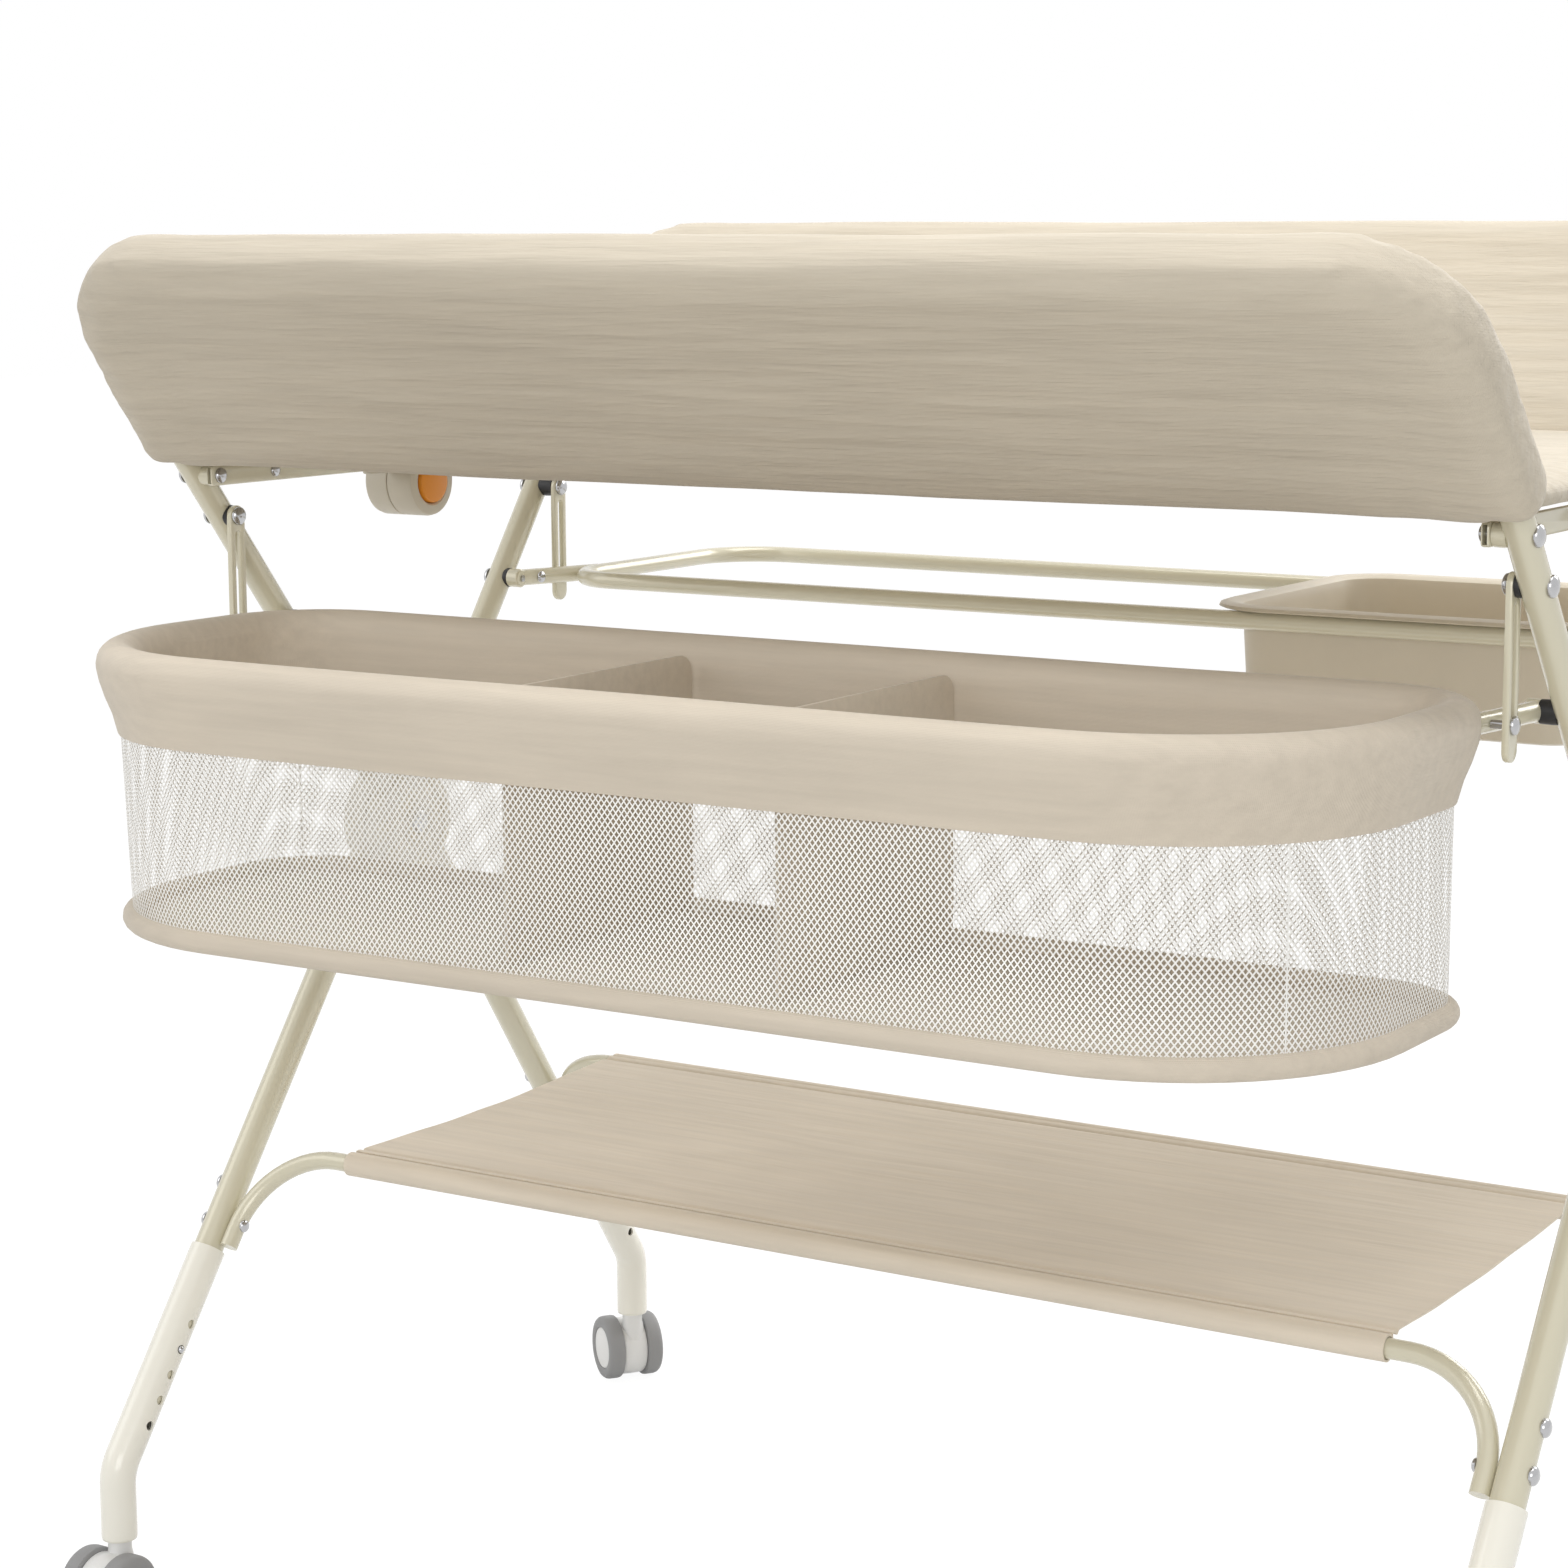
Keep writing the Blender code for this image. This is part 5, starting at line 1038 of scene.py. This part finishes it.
class OBJECT_OT_table_struts(TableOperator):
    """Add the folding struts with their locks and release buttons"""

    bl_idname = "object.table_struts"
    bl_label = "Struts and locks"

    def make(self, context, sizes):
        rows = (
            ("front", "front_upper", FRONT_STRUT_X, 1, "inner"),
            ("back", "back_upper", BACK_STRUT_X, -1, "outer"),
        )
        for side_name, side in SIDES:
            for spot, kind, x, way, half in rows:
                pivot = at_height(kind, 0.0, STRUT_Z)
                name = f"strut_{spot}_{side_name}"
                bm = bmesh.new()
                nose = pivot.y - way * STRUT_END
                tip = LOCK.y - way * LOCK_R * 0.4
                corners = [
                    Vector((0.0, y, STRUT_Z + STRUT_HALF * rise))
                    for y, rise in ((tip, -1), (nose, -1), (nose, 1), (tip, 1))
                ]
                outline = [(point.y, point.z) for point in rounded_path(corners, 0.0030, 5)]
                plate(bm, outline, between(x, x + STRUT_THICK, side), 0.0011)
                hollow = bmesh.new()
                ends = between(x + 0.0012, x + STRUT_THICK - 0.0012, side)
                ys = sorted((nose - way * 0.002, nose + way * 0.014))
                rise = STRUT_HALF - 0.0014
                block(hollow, Vector((ends[0], ys[0], STRUT_Z - rise)), Vector((ends[1], ys[1], STRUT_Z + rise)))
                place(name + "_bar", carved(mesh_of(bm), hollow), "frame", name, [name])
                self.rivet(name, pivot, x, way, side)
                self.half_lock(side_name, side, half, x, way, name)
            self.button(side_name, side)

    def rivet(self, name, pivot, x, way, side):
        """Rivet across the bar, past the end of its hollow."""
        y = pivot.y + way * STRUT_RIVET
        bm = bmesh.new()
        dome(bm, Vector((x * side, y, STRUT_Z)), -AXIS_X * side, HEAD_R, 0.0022)
        dome(bm, Vector(((x + STRUT_THICK) * side, y, STRUT_Z)), AXIS_X * side, HEAD_R, 0.0022)
        emit(name + "_rivet", bm, "steel", name)

    def half_lock(self, side_name, side, half, strut_x, way, body):
        low, high = LOCK_FACES[half]
        bm = bmesh.new()
        face, join = (low, high) if half == "inner" else (high, low)
        out = AXIS_X * side * (-1 if half == "inner" else 1)
        thick = high - low
        start = LOCK + AXIS_X * side * join
        profile = [
            (0.0, 0.0), (LOCK_R - 0.0004, 0.0), (LOCK_R, 0.0005), (LOCK_R, thick - 0.0040),
            (LOCK_R - 0.0008, thick - 0.0012), (LOCK_R - 0.0028, thick),
        ]
        if half == "inner":  # well of the button
            profile += [
                (0.0168, thick), (0.0156, thick - 0.0010), (0.0151, thick - 0.0030), (0.0151, thick - 0.0090),
                (0.0, thick - 0.0090),
            ]
        else:  # shallow dish
            profile += [(0.0140, thick), (0.0132, thick - 0.0010), (0.0, thick - 0.0010)]
        lathe(bm, profile, start, out, 56)
        ends = between(max(low, strut_x - 0.0022), min(high, strut_x + STRUT_THICK + 0.0022), side)
        ys = sorted((LOCK.y - way * 0.012, LOCK.y - way * 0.050))
        block(bm, Vector((ends[0], ys[0], STRUT_Z - STRUT_HALF - 0.0022)),
              Vector((ends[1], ys[1], STRUT_Z + STRUT_HALF + 0.0022)), 0.0011)
        emit(f"lock_{half}_{side_name}_shell", bm, "shell", body, [f"lock_{half}_{side_name}"])

    def button(self, side_name, side):
        bm = bmesh.new()
        start = LOCK + AXIS_X * side * (LOCK_FACES["inner"][0] + 0.0047)
        lathe(bm, [(0.0, 0.0), (0.0148, 0.0), (0.0148, 0.0052), (0.0143, 0.0062), (0.0130, 0.0067),
                   (0.0, 0.0067)], start, -AXIS_X * side, 48)
        emit(f"lock_button_{side_name}_cap", bm, "orange", f"lock_button_{side_name}", [f"lock_button_{side_name}"])


class OBJECT_OT_table_carriers(TableOperator):
    """Add the basket rim, the rack and the slotted stays that steady them"""

    bl_idname = "object.table_carriers"
    bl_label = "Rim, rack and stays"

    def make(self, context, sizes):
        rows = (
            ("basket_frame", "basket", "front_upper", BASKET_Z, RING_X, BASKET_FAR, BASKET_NEAR, *BASKET_CORNERS, -1),
            ("rack_frame", "rack", "back_upper", RACK_Z, RACK_X, RACK_NEAR, RACK_FAR, *RACK_CORNERS, 1),
        )
        for name, body, kind, z, half, low, high, low_r, high_r, way in rows:
            pivot = at_height(kind, 0.0, z)
            near, near_r = (high, high_r) if way < 0 else (low, low_r)
            boss = ARM_BOSSES[body]
            bm, studs = bmesh.new(), bmesh.new()
            sweep(bm, plan_ring(half, low, high, low_r, high_r, z), AXIS_Z, RIM_R, 24, closed=True)
            for _, side in SIDES:
                start = Vector(((boss[0] + ARM_R) * side, pivot.y, z))
                end = Vector(((half + 0.002) * side, near + way * (near_r + RIM_R), z))
                length = (end - start).length
                profile = [
                    (0.0, 0.0), (ARM_R, 0.0), (ARM_R, length - 0.0012), (ARM_R - 0.0012, length), (0.0, length),
                ]
                lathe(bm, profile, start, end - start, 28)
                wide = boss[1] - boss[0]
                lathe(bm, [(0.0, 0.0), (0.0067, 0.0), (0.0067, wide - 0.0012), (0.0055, wide), (0.0, wide)],
                      Vector((boss[1] * side, pivot.y, z)), -AXIS_X * side, 32)
                for depth in (0.016, 0.055):
                    at = start.lerp(end, depth / abs(end.y - start.y))
                    dome(studs, at - AXIS_X * side * (ARM_R - 0.0004), -AXIS_X * side, HEAD_R, 0.0024)
                self.stay_pin(studs, side, FRONT_STAY_Y if way < 0 else BACK_STAY_Y, z)
            emit(name + "_tubes", bm, "frame", body, [name])
            emit(name + "_rivets", studs, "steel", body)
        stays = (
            ("front", "front_upper", FRONT_STAY_Y, BASKET_Z),
            ("back", "back_upper", BACK_STAY_Y, RACK_Z),
        )
        for spot, kind, y, pin_z in stays:
            pivot = at_depth(kind, 0.0, y)
            outline = stadium((y, pivot.z), (y, pin_z - 0.013), STAY_HALF)
            slot = stadium((y, pivot.z - 0.0125), (y, pin_z), 0.0027)
            for side_name, side in SIDES:
                name = f"stay_{spot}_{side_name}"
                bm = bmesh.new()
                plate(bm, outline, between(STAY_X, STAY_X + STAY_THICK, side), 0.0008, slot)
                emit(name + "_bar", bm, "frame", name, [name])

    def stay_pin(self, bm, side, y, z):
        """Pin of an arm through the slot of its stay, with a domed head outside."""
        face = STAY_X + STAY_THICK + 0.0002
        rod(bm, Vector(((STAY_X - 0.008) * side, y, z)), Vector((face * side, y, z)), PIN_R, 16)
        dome(bm, Vector((face * side, y, z)), AXIS_X * side, 0.0052, 0.0032, 28)


class OBJECT_OT_table_rivets(TableOperator):
    """Add the rivets, spacers and caps on the two frames"""

    bl_idname = "object.table_rivets"
    bl_label = "Rivets and spacers"

    def make(self, context, sizes):
        rows = (
            ("front_frame", "front_upper", FRONT_X, FRONT_STRUT_X, FRONT_STAY_Y, BASKET_Z, ARM_BOSSES["basket"]),
            ("back_frame", "back_upper", BACK_X, BACK_STRUT_X, BACK_STAY_Y, RACK_Z, ARM_BOSSES["rack"]),
        )
        for body, kind, x, strut_x, stay_y, arm_z, boss in rows:
            steel, black, sleeves = bmesh.new(), bmesh.new(), bmesh.new()
            strut = at_height(kind, 0.0, STRUT_Z)
            stay = at_depth(kind, 0.0, stay_y)
            arm = at_height(kind, 0.0, arm_z)
            skin = x - UPPER_R + 0.002  # a little inside the tube
            for _, side in SIDES:
                inward = -AXIS_X * side
                for point, outer, inner, head, shown in (
                    (strut, strut_x + STRUT_THICK, strut_x, 0.0050, False),
                    (stay, STAY_X + STAY_THICK, STAY_X, 0.0060, True),
                    (arm, boss[1], boss[0], 0.0012, True),
                ):
                    root = Vector((skin * side, point.y, point.z))
                    depth = skin - outer - 0.0003
                    collar = black if shown else sleeves
                    if depth > 0.0006:
                        profile = [
                            (0.0, 0.0), (0.0068, 0.0), (0.0070, depth * 0.3), (0.0068, depth), (0.0, depth),
                        ]
                        lathe(collar, profile, root, inward, 28)
                    rod(steel, root, Vector(((inner - 0.001) * side, point.y, point.z)), PIN_R, 16)
                    dome(steel, Vector(((inner - 0.0003) * side, point.y, point.z)), inward, head, head * 0.6, 28)
                    dome(steel, Vector(((x + UPPER_R - 0.0008) * side, point.y, point.z)), -inward, 0.0062, 0.0040, 28)
            emit(body + "_rivets", steel, "steel", body)
            emit(body + "_spacers", black, "black", body)
            emit(body + "_sleeves", sleeves, "frame", body)
        self.shelf_rivets()

    def shelf_rivets(self):
        rows = (
            ("back_frame", "back_lower", BACK_X, SHELF_FRONT_Z),
            ("front_frame", "front_lower", FRONT_X, SHELF_BACK_Z),
        )
        for body, kind, x, z in rows:
            bm = bmesh.new()
            for _, side in SIDES:
                for drop in SHELF_RIVETS:
                    at = at_height(kind, x * side, z - drop)
                    dome(bm, at + AXIS_X * side * (LOWER_R - 0.0008), AXIS_X * side, 0.0055, 0.0042, 28)
                at = at_height(kind, (x - LOWER_R - 0.0063) * side, z - SHELF_RIVETS[0])
                dome(bm, at - AXIS_X * side * (RIM_R - 0.0006), -AXIS_X * side, HEAD_R, 0.0030, 28)
            emit(body + "_shelf_rivets", bm, "steel", body)


# ---------------------------------------------------------------- shelf


class OBJECT_OT_table_shelf(TableOperator):
    """Add the bottom shelf's tubes and its cloth with a sleeve on each"""

    bl_idname = "object.table_shelf"
    bl_label = "Bottom shelf"

    def make(self, context, sizes):
        rows = (
            ("shelf_tube_front", "back_lower", BACK_X, SHELF_FRONT_Z, "back_frame"),
            ("shelf_tube_back", "front_lower", FRONT_X, SHELF_BACK_Z, "front_frame"),
        )
        for name, kind, leg_x, z, body in rows:
            x = leg_x - LOWER_R - RIM_R - 0.0003
            corners = [
                at_height(kind, -x, z - SHELF_DROP), at_height(kind, -x, z),
                at_height(kind, x, z), at_height(kind, x, z - SHELF_DROP),
            ]
            bm = bmesh.new()
            normal = plane_normal(kind)
            sweep(bm, rounded_path(corners, SHELF_CORNER, 14), normal, RIM_R, 24)
            emit(name + "_bent", bm, "frame", body, [name])
        self.cloth()

    def sleeve(self, tube, start):
        """(Y, Z) points of the cloth's way round a tube, clockwise from an angle in degrees."""
        angles = [math.radians(start - 310.0 * step / 20) for step in range(21)]
        return [(tube.y + SLEEVE_R * math.cos(angle), tube.z + SLEEVE_R * math.sin(angle)) for angle in angles]

    def cloth(self):
        front = at_height("back_lower", 0.0, SHELF_FRONT_Z)
        back = at_height("front_lower", 0.0, SHELF_BACK_Z)
        section = self.sleeve(front, -40.0)
        span = back.y - front.y
        near = [0.0060, 0.0085, 0.0105, 0.0117, 0.0125, 0.0133, 0.0145, 0.0170]
        middle = [0.0220 + (span - 0.0440) * step / 32 for step in range(33)]
        for depth in near + middle + [span - value for value in reversed(near)]:
            share = depth / span
            crease = 0.0022 * math.exp(-((min(depth, span - depth) - 0.0125) / 0.0015) ** 2)
            z = front.z + (back.z - front.z) * share + SLEEVE_R - 0.0050 * math.sin(math.pi * share) - crease
            section.append((front.y + depth, z))
        section += self.sleeve(back, 130.0)
        bm = bmesh.new()
        path = divided([Vector((-SHELF_HALF, 0.0, 0.0)), Vector((SHELF_HALF, 0.0, 0.0))], 0.010)
        # the station's X is the path plane's normal, here -Z, and its Y is then -Y
        sweep(bm, path, AXIS_Z, section=([(z, -y) for y, z in section], False), caps=False)
        for vert in bm.verts:
            share = (vert.co.y - front.y) / (back.y - front.y)
            inside = max(0.0, min(1.0, math.sin(math.pi * max(0.0, min(1.0, share)))))
            sway = noise.noise(Vector((vert.co.x * 5.0, vert.co.y * 16.0, 3.0)))
            vert.co.z += inside * (sway * 0.0016 - 0.0010 * math.cos(vert.co.x * math.pi / SHELF_HALF))
        mesh = with_modifier(mesh_of(bm), "SOLIDIFY", thickness=0.0012, offset=0.0)
        # The shelf finish carries painted light: a lighter colour against the shade under the bed.
        cloth = place("shelf_cloth_sheet", mesh, "shelf", None, ["shelf_cloth"], 50.0)
        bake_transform(cloth)


# ---------------------------------------------------------------- padding


class OBJECT_OT_table_guards(TableOperator):
    """Add the two padded guards over the hoops"""

    bl_idname = "object.table_guards"
    bl_label = "Guards"

    def make(self, context, sizes):
        rows = (
            ("front_guard", "front_upper", FRONT_X, FRONT_HOOP, "front_frame", 3.7),
            ("back_guard", "back_upper", BACK_X, BACK_HOOP, "back_frame", 11.2),
        )
        for name, kind, x, length, body, seed in rows:
            normal = plane_normal(kind)
            bm = bmesh.new()
            roll = sizes.roll_radius
            for inset, share in ((0.0, 1.0), (0.020, 0.90), (0.038, 0.82)):
                path, scales = self.roll_path(kind, x, length, inset)
                sweep(bm, path, normal, section=self.roll_section(roll * share), scales=scales)
            self.panel(bm, kind, x, length, sizes.panel_thickness, normal)
            mesh = with_modifier(mesh_of(bm), "REMESH", mode="VOXEL", voxel_size=sizes.voxel)
            mesh = self.flared(smoothed(mesh, 5), kind, x, length)
            mesh = inflated(mesh, 4.0, 0.0030)
            mesh = with_modifier(mesh, "SUBSURF", levels=1, render_levels=1)
            mesh = rippled(mesh, 0.0009, (6.0, 40.0, 40.0), seed)
            mesh = rippled(mesh, 0.0005, (13.0, 110.0, 110.0), seed + 5.0)
            guard = place(name + "_pad", mesh, "guard", body, [name], 0.0)

    def flared(self, mesh, kind, x, length):
        """The guard a little wider towards its foot."""
        top, foot = on_leg(kind, x, length).z, on_leg(kind, x, GUARD_START).z
        for vert in mesh.vertices:
            share = max(0.0, (top - vert.co.z) / (top - foot))
            vert.co.x *= 1.0 + 0.012 * share * share
        return mesh

    def roll_section(self, half):
        """Square with round corners, a little thicker through the guard than across the hoop."""
        across = half * 0.87
        corners = [Vector((half, across, 0.0)), Vector((-half, across, 0.0)), Vector((-half, -across, 0.0)),
                   Vector((half, -across, 0.0))]
        return [(point.x, point.y) for point in rounded_path(corners, half * 0.42, 5, cyclic=True)], True

    def roll_path(self, kind, x, length, inset):
        """Path of a roll over the hoop and its sizes along it, rounded off at the two ends."""
        path = divided(hoop_path(kind, x, length, GUARD_START, inset, 8), 0.020)
        along = leg_line(kind)[1]
        steps = (0.0, 0.0012, 0.0030, 0.0055, 0.0085)
        sizes = [max(0.3, math.sqrt(1.0 - (1.0 - step / steps[-1]) ** 2)) for step in steps]
        first = [path[0] + along * step for step in steps]
        last = [path[-1] + along * step for step in reversed(steps)]
        scales = sizes + [1.0] * (len(path) - 2) + sizes[::-1]
        return first + path[1:-1] + last, scales

    def panel(self, bm, kind, x, length, thick, normal):
        """Flat padding between the legs of the hoop, its lower corners rounded."""
        corners = [
            on_leg(kind, -x + 0.004, GUARD_FOOT), on_leg(kind, -x + 0.004, length),
            on_leg(kind, x - 0.004, length), on_leg(kind, x - 0.004, GUARD_FOOT),
        ]
        outline = rounded_path(corners, [0.020, 0.060, 0.060, 0.020], 8, cyclic=True)
        _, edges = closed_loop(bm, [point - normal * thick / 2 for point in outline])
        faces = bmesh.ops.edgeloop_fill(bm, edges=edges)["faces"]
        made = bmesh.ops.extrude_face_region(bm, geom=faces)["geom"]
        bmesh.ops.translate(bm, verts=fresh(made, bmesh.types.BMVert), vec=normal * thick)


class OBJECT_OT_table_bed(TableOperator):
    """Add the padded floor of the bed"""

    bl_idname = "object.table_bed"
    bl_label = "Bed floor"

    def make(self, context, sizes):
        front_low, front_rim = (at_height("front_upper", 0.0, z).y + BED_TUCK for z in (BED_LOW, BED_RIM))
        back_low, back_rim = (at_height("back_upper", 0.0, z).y - BED_TUCK for z in (BED_LOW, BED_RIM))
        section = [(BED_LOW, front_low), (BED_LOW, back_low), (BED_RIM, back_rim)]
        for step in range(24, -1, -1):
            share = step / 24
            y = front_rim + (back_rim - front_rim) * (0.06 + 0.88 * share)
            section.append((BED_TOP + BED_DOME * math.sin(math.pi * share), y))
        section.append((BED_RIM, front_rim))
        bm = bmesh.new()
        path = [Vector((-BED_HALF, 0.0, 0.0)), Vector((BED_HALF, 0.0, 0.0))]
        sweep(bm, path, AXIS_Z, section=([(z, -y) for z, y in section], True))
        mesh = with_modifier(mesh_of(bm), "REMESH", mode="VOXEL", voxel_size=sizes.voxel * 1.15)
        mesh = inflated(smoothed(mesh, 6), 4.0, 0.0025)
        mesh = with_modifier(mesh, "SUBSURF", levels=1, render_levels=1)
        mesh = rippled(mesh, 0.0010, (5.0, 30.0, 42.0), 21.0)
        bed = place("bed_floor_pad", mesh, "guard", None, ["bed_base"], 0.0)
        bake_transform(bed)


# ---------------------------------------------------------------- basket


def basket_ring(z=0.0, steps=14):
    return plan_ring(RING_X, BASKET_FAR, BASKET_NEAR, *BASKET_CORNERS, z, steps)


def base_ring(z=0.0, steps=14):
    return plan_ring(BASE_X, BASKET_FAR + BASE_INSET, BASKET_NEAR - BASE_INSET, *BASE_CORNERS, z, steps)


def ring_lengths(ring):
    lengths = [0.0]
    for first, last in zip(ring, ring[1:] + ring[:1]):
        lengths.append(lengths[-1] + (last - first).length)
    return lengths


def point_on(ring, lengths, share):
    """Point of a closed ring at a share of its length."""
    along = share * lengths[-1]
    index = min(bisect.bisect_right(lengths, along) - 1, len(ring) - 1)
    part = (along - lengths[index]) / (lengths[index + 1] - lengths[index])
    return ring[index].lerp(ring[(index + 1) % len(ring)], max(0.0, min(1.0, part)))


class OBJECT_OT_table_basket(TableOperator):
    """Add the basket's band, netting, base, piping and dividers"""

    bl_idname = "object.table_basket"
    bl_label = "Basket"

    def make(self, context, sizes):
        band = self.band()
        base, hem = self.base()
        nets = self.netting(sizes)
        dividers = self.dividers()

    def band(self):
        section = [(-BAND_FOOT, 0.0008), (-0.0300, 0.0040), (-0.0200, 0.0080), (-0.0100, 0.0112)]
        for step in range(15):
            angle = math.radians(-10.0 + 200.0 * step / 14)
            section.append((BAND_R * math.sin(angle), BAND_R * math.cos(angle)))
        section += [(-0.0100, -0.0122), (-0.0200, -0.0114), (-0.0300, -0.0108)]
        bm = bmesh.new()
        path = divided(basket_ring(BASKET_Z), 0.012, True)
        sweep(bm, path, AXIS_Z, section=(section, False), closed=True)
        mesh = with_modifier(mesh_of(bm), "SOLIDIFY", thickness=0.0014, offset=0.0)
        mesh = rippled(mesh, 0.0004, (9.0, 9.0, 40.0), 31.0)
        return place("basket_band", mesh, "basket", "basket", ["basket_cloth"], 60.0)

    def base(self):
        floor = BASKET_FLOOR + 0.0006
        bm = bmesh.new()
        _, edges = closed_loop(bm, base_ring(floor))
        bmesh.ops.edgeloop_fill(bm, edges=edges)
        mesh = with_modifier(mesh_of(bm), "SOLIDIFY", thickness=0.0024, offset=0.0)
        base = place("basket_base_panel", mesh, "basket", "basket", (), 40.0)
        hem = bmesh.new()
        sweep(hem, divided(base_ring(floor + 0.0026), 0.012, True), AXIS_Z, 0.0066, 20, closed=True)
        return base, emit("basket_base_piping", hem, "basket", "basket")

    def netting(self, sizes):
        """Diamond netting: a grid is poked, its own edges dissolved, and each diamond opened by an inset."""
        top, bottom = BASKET_Z - BAND_FOOT + 0.004, BASKET_FLOOR + 0.004
        upper, lower = basket_ring(0.0, 20), base_ring(0.0, 20)
        upper_lengths, lower_lengths = ring_lengths(upper), ring_lengths(lower)
        total = upper_lengths[-1]
        flat = width, height = total / 2, top - bottom
        columns, rows = max(8, round(width / sizes.net_width)), max(4, round(height / sizes.net_height))
        made = []
        for label, begin in (("right", 0.06), ("left", 0.56)):  # seams at these shares of the ring
            bm = bmesh.new()
            bmesh.ops.create_grid(bm, x_segments=columns, y_segments=rows, size=0.5)
            bmesh.ops.scale(bm, verts=bm.verts, vec=(width, height, 1.0))
            bmesh.ops.translate(bm, verts=bm.verts, vec=(width / 2, height / 2, 0.0))
            inner = [edge for edge in bm.edges if not edge.is_boundary]
            bmesh.ops.poke(bm, faces=bm.faces[:])
            bmesh.ops.dissolve_edges(bm, edges=inner, use_verts=False, use_face_split=False)
            cells = bm.faces[:]
            bmesh.ops.inset_individual(bm, faces=cells, thickness=sizes.net_thread / 2, use_even_offset=True)
            bmesh.ops.delete(bm, geom=cells, context="FACES_ONLY")
            area = sum(face.calc_area() for face in bm.faces)
            for vert in bm.verts:
                share = (begin + vert.co.x / total) % 1.0
                high = point_on(upper, upper_lengths, share)
                low = point_on(lower, lower_lengths, share)
                spot = low.lerp(high, vert.co.y / height)
                vert.co = (spot.x, spot.y, bottom + vert.co.y)
            net = emit(f"basket_netting_{label}", bm, "net", "basket", (), 0.0)
            made.append((net, flat, max(0.31, area / (width * height))))
        return made

    def dividers(self):
        far, near = DIVIDER_Y
        foot = BASKET_FLOOR + 0.005
        spots = ((far, foot), (far, DIVIDER_TOP), (near, DIVIDER_TOP), (near, foot))
        path = rounded_path([Vector((0.0, y, z)) for y, z in spots], [0.002, 0.012, 0.012, 0.002], 6, cyclic=True)
        outline = [(point.y, point.z) for point in path]
        made = []
        for side_name, side in SIDES:
            bm = bmesh.new()
            plate(bm, outline, between(*DIVIDER_X, side), 0.0010)
            name = f"basket_divider_{side_name}"
            made.append(emit(name + "_cloth", bm, "basket", "basket", [name]))
        return made


# ---------------------------------------------------------------- bin


class OBJECT_OT_table_bin(TableOperator):
    """Add the lift-off bin that hangs in the rack"""

    bl_idname = "object.table_bin"
    bl_label = "Bin"

    def make(self, context, sizes):
        lip_under = RACK_Z + RIM_R + 0.0003
        low, high = RACK_NEAR + RIM_R + 0.004, RACK_FAR - RIM_R - 0.004
        rows = [  # inset, share of the lip and height, from the floor up and over the lip
            (0.0260, 0.0, 0.5850), (0.0110, 0.0, 0.5850), (0.0072, 0.0, 0.5862), (0.0056, 0.0, 0.5900),
            (0.0034, 0.0, 0.6100), (0.0006, 0.0, 0.6560), (-0.0002, 0.06, lip_under + 0.0008),
            (0.0, 0.30, lip_under + 0.0022), (0.0, 0.70, lip_under + 0.0030), (0.0, 0.96, lip_under + 0.0018),
            (0.0, 1.0, lip_under + 0.0004),
        ]
        bm = bmesh.new()
        edges = None
        for inset, share, z in rows:
            side, end = BIN_LIP_SIDE * share - inset, BIN_LIP_END * share - inset
            radius = max(0.006, BIN_CORNER + side)
            ring = plan_ring(BIN_HALF + end, low - side, high + side, radius, radius, z, 10)
            points = [point + AXIS_X * BIN_X for point in ring]
            if edges is None:
                last, edges = closed_loop(bm, points)
                bmesh.ops.edgeloop_fill(bm, edges=edges)
                continue
            moved, edges = extruded(bm, edges)
            inside = set(moved)
            follow = {}  # each vertex of the ring before and the one drawn out of it
            for vert in moved:
                for edge in vert.link_edges:
                    other = edge.other_vert(vert)
                    if other not in inside:
                        follow[other] = vert
            last = [follow[vert] for vert in last]
            for vert, point in zip(last, points):
                vert.co = point
        mesh = with_modifier(mesh_of(bm), "SOLIDIFY", thickness=BIN_WALL, offset=0.0)
        place("bin_tub", mesh, "bin", "bin", ["bin"], 40.0)


# ---------------------------------------------------------------- panel and run


STEPS = (
    OBJECT_OT_table_stage, OBJECT_OT_table_tubes, OBJECT_OT_table_hubs, OBJECT_OT_table_feet,
    OBJECT_OT_table_casters, OBJECT_OT_table_struts, OBJECT_OT_table_carriers, OBJECT_OT_table_rivets,
    OBJECT_OT_table_shelf, OBJECT_OT_table_guards, OBJECT_OT_table_bed, OBJECT_OT_table_basket,
    OBJECT_OT_table_bin,
)


class VIEW3D_PT_changing_table(bpy.types.Panel):
    """Buttons and values of the changing table"""

    bl_label = "Changing table"
    bl_idname = "VIEW3D_PT_changing_table"
    bl_space_type = "VIEW_3D"
    bl_region_type = "UI"
    bl_category = "Changing table"

    def draw(self, context):
        for group in (context.scene.changing_table, context.scene.changing_table_sizes):
            column = self.layout.column(align=True)
            for key in group.bl_rna.properties.keys():
                if key not in ("rna_type", "name"):
                    column.prop(group, key)
        for step in STEPS:
            self.layout.operator(step.bl_idname)


CLASSES = (ChangingTableLook, ChangingTableSizes, *STEPS, VIEW3D_PT_changing_table)


def register():
    for item in CLASSES:
        bpy.utils.register_class(item)
    bpy.types.Scene.changing_table = PointerProperty(type=ChangingTableLook)
    bpy.types.Scene.changing_table_sizes = PointerProperty(type=ChangingTableSizes)


def unregister():
    del bpy.types.Scene.changing_table_sizes
    del bpy.types.Scene.changing_table
    for item in reversed(CLASSES):
        bpy.utils.unregister_class(item)


def main():
    register()
    for step in STEPS:
        area, name = step.bl_idname.split(".")
        getattr(getattr(bpy.ops, area), name)()


if __name__ == "__main__":
    main()
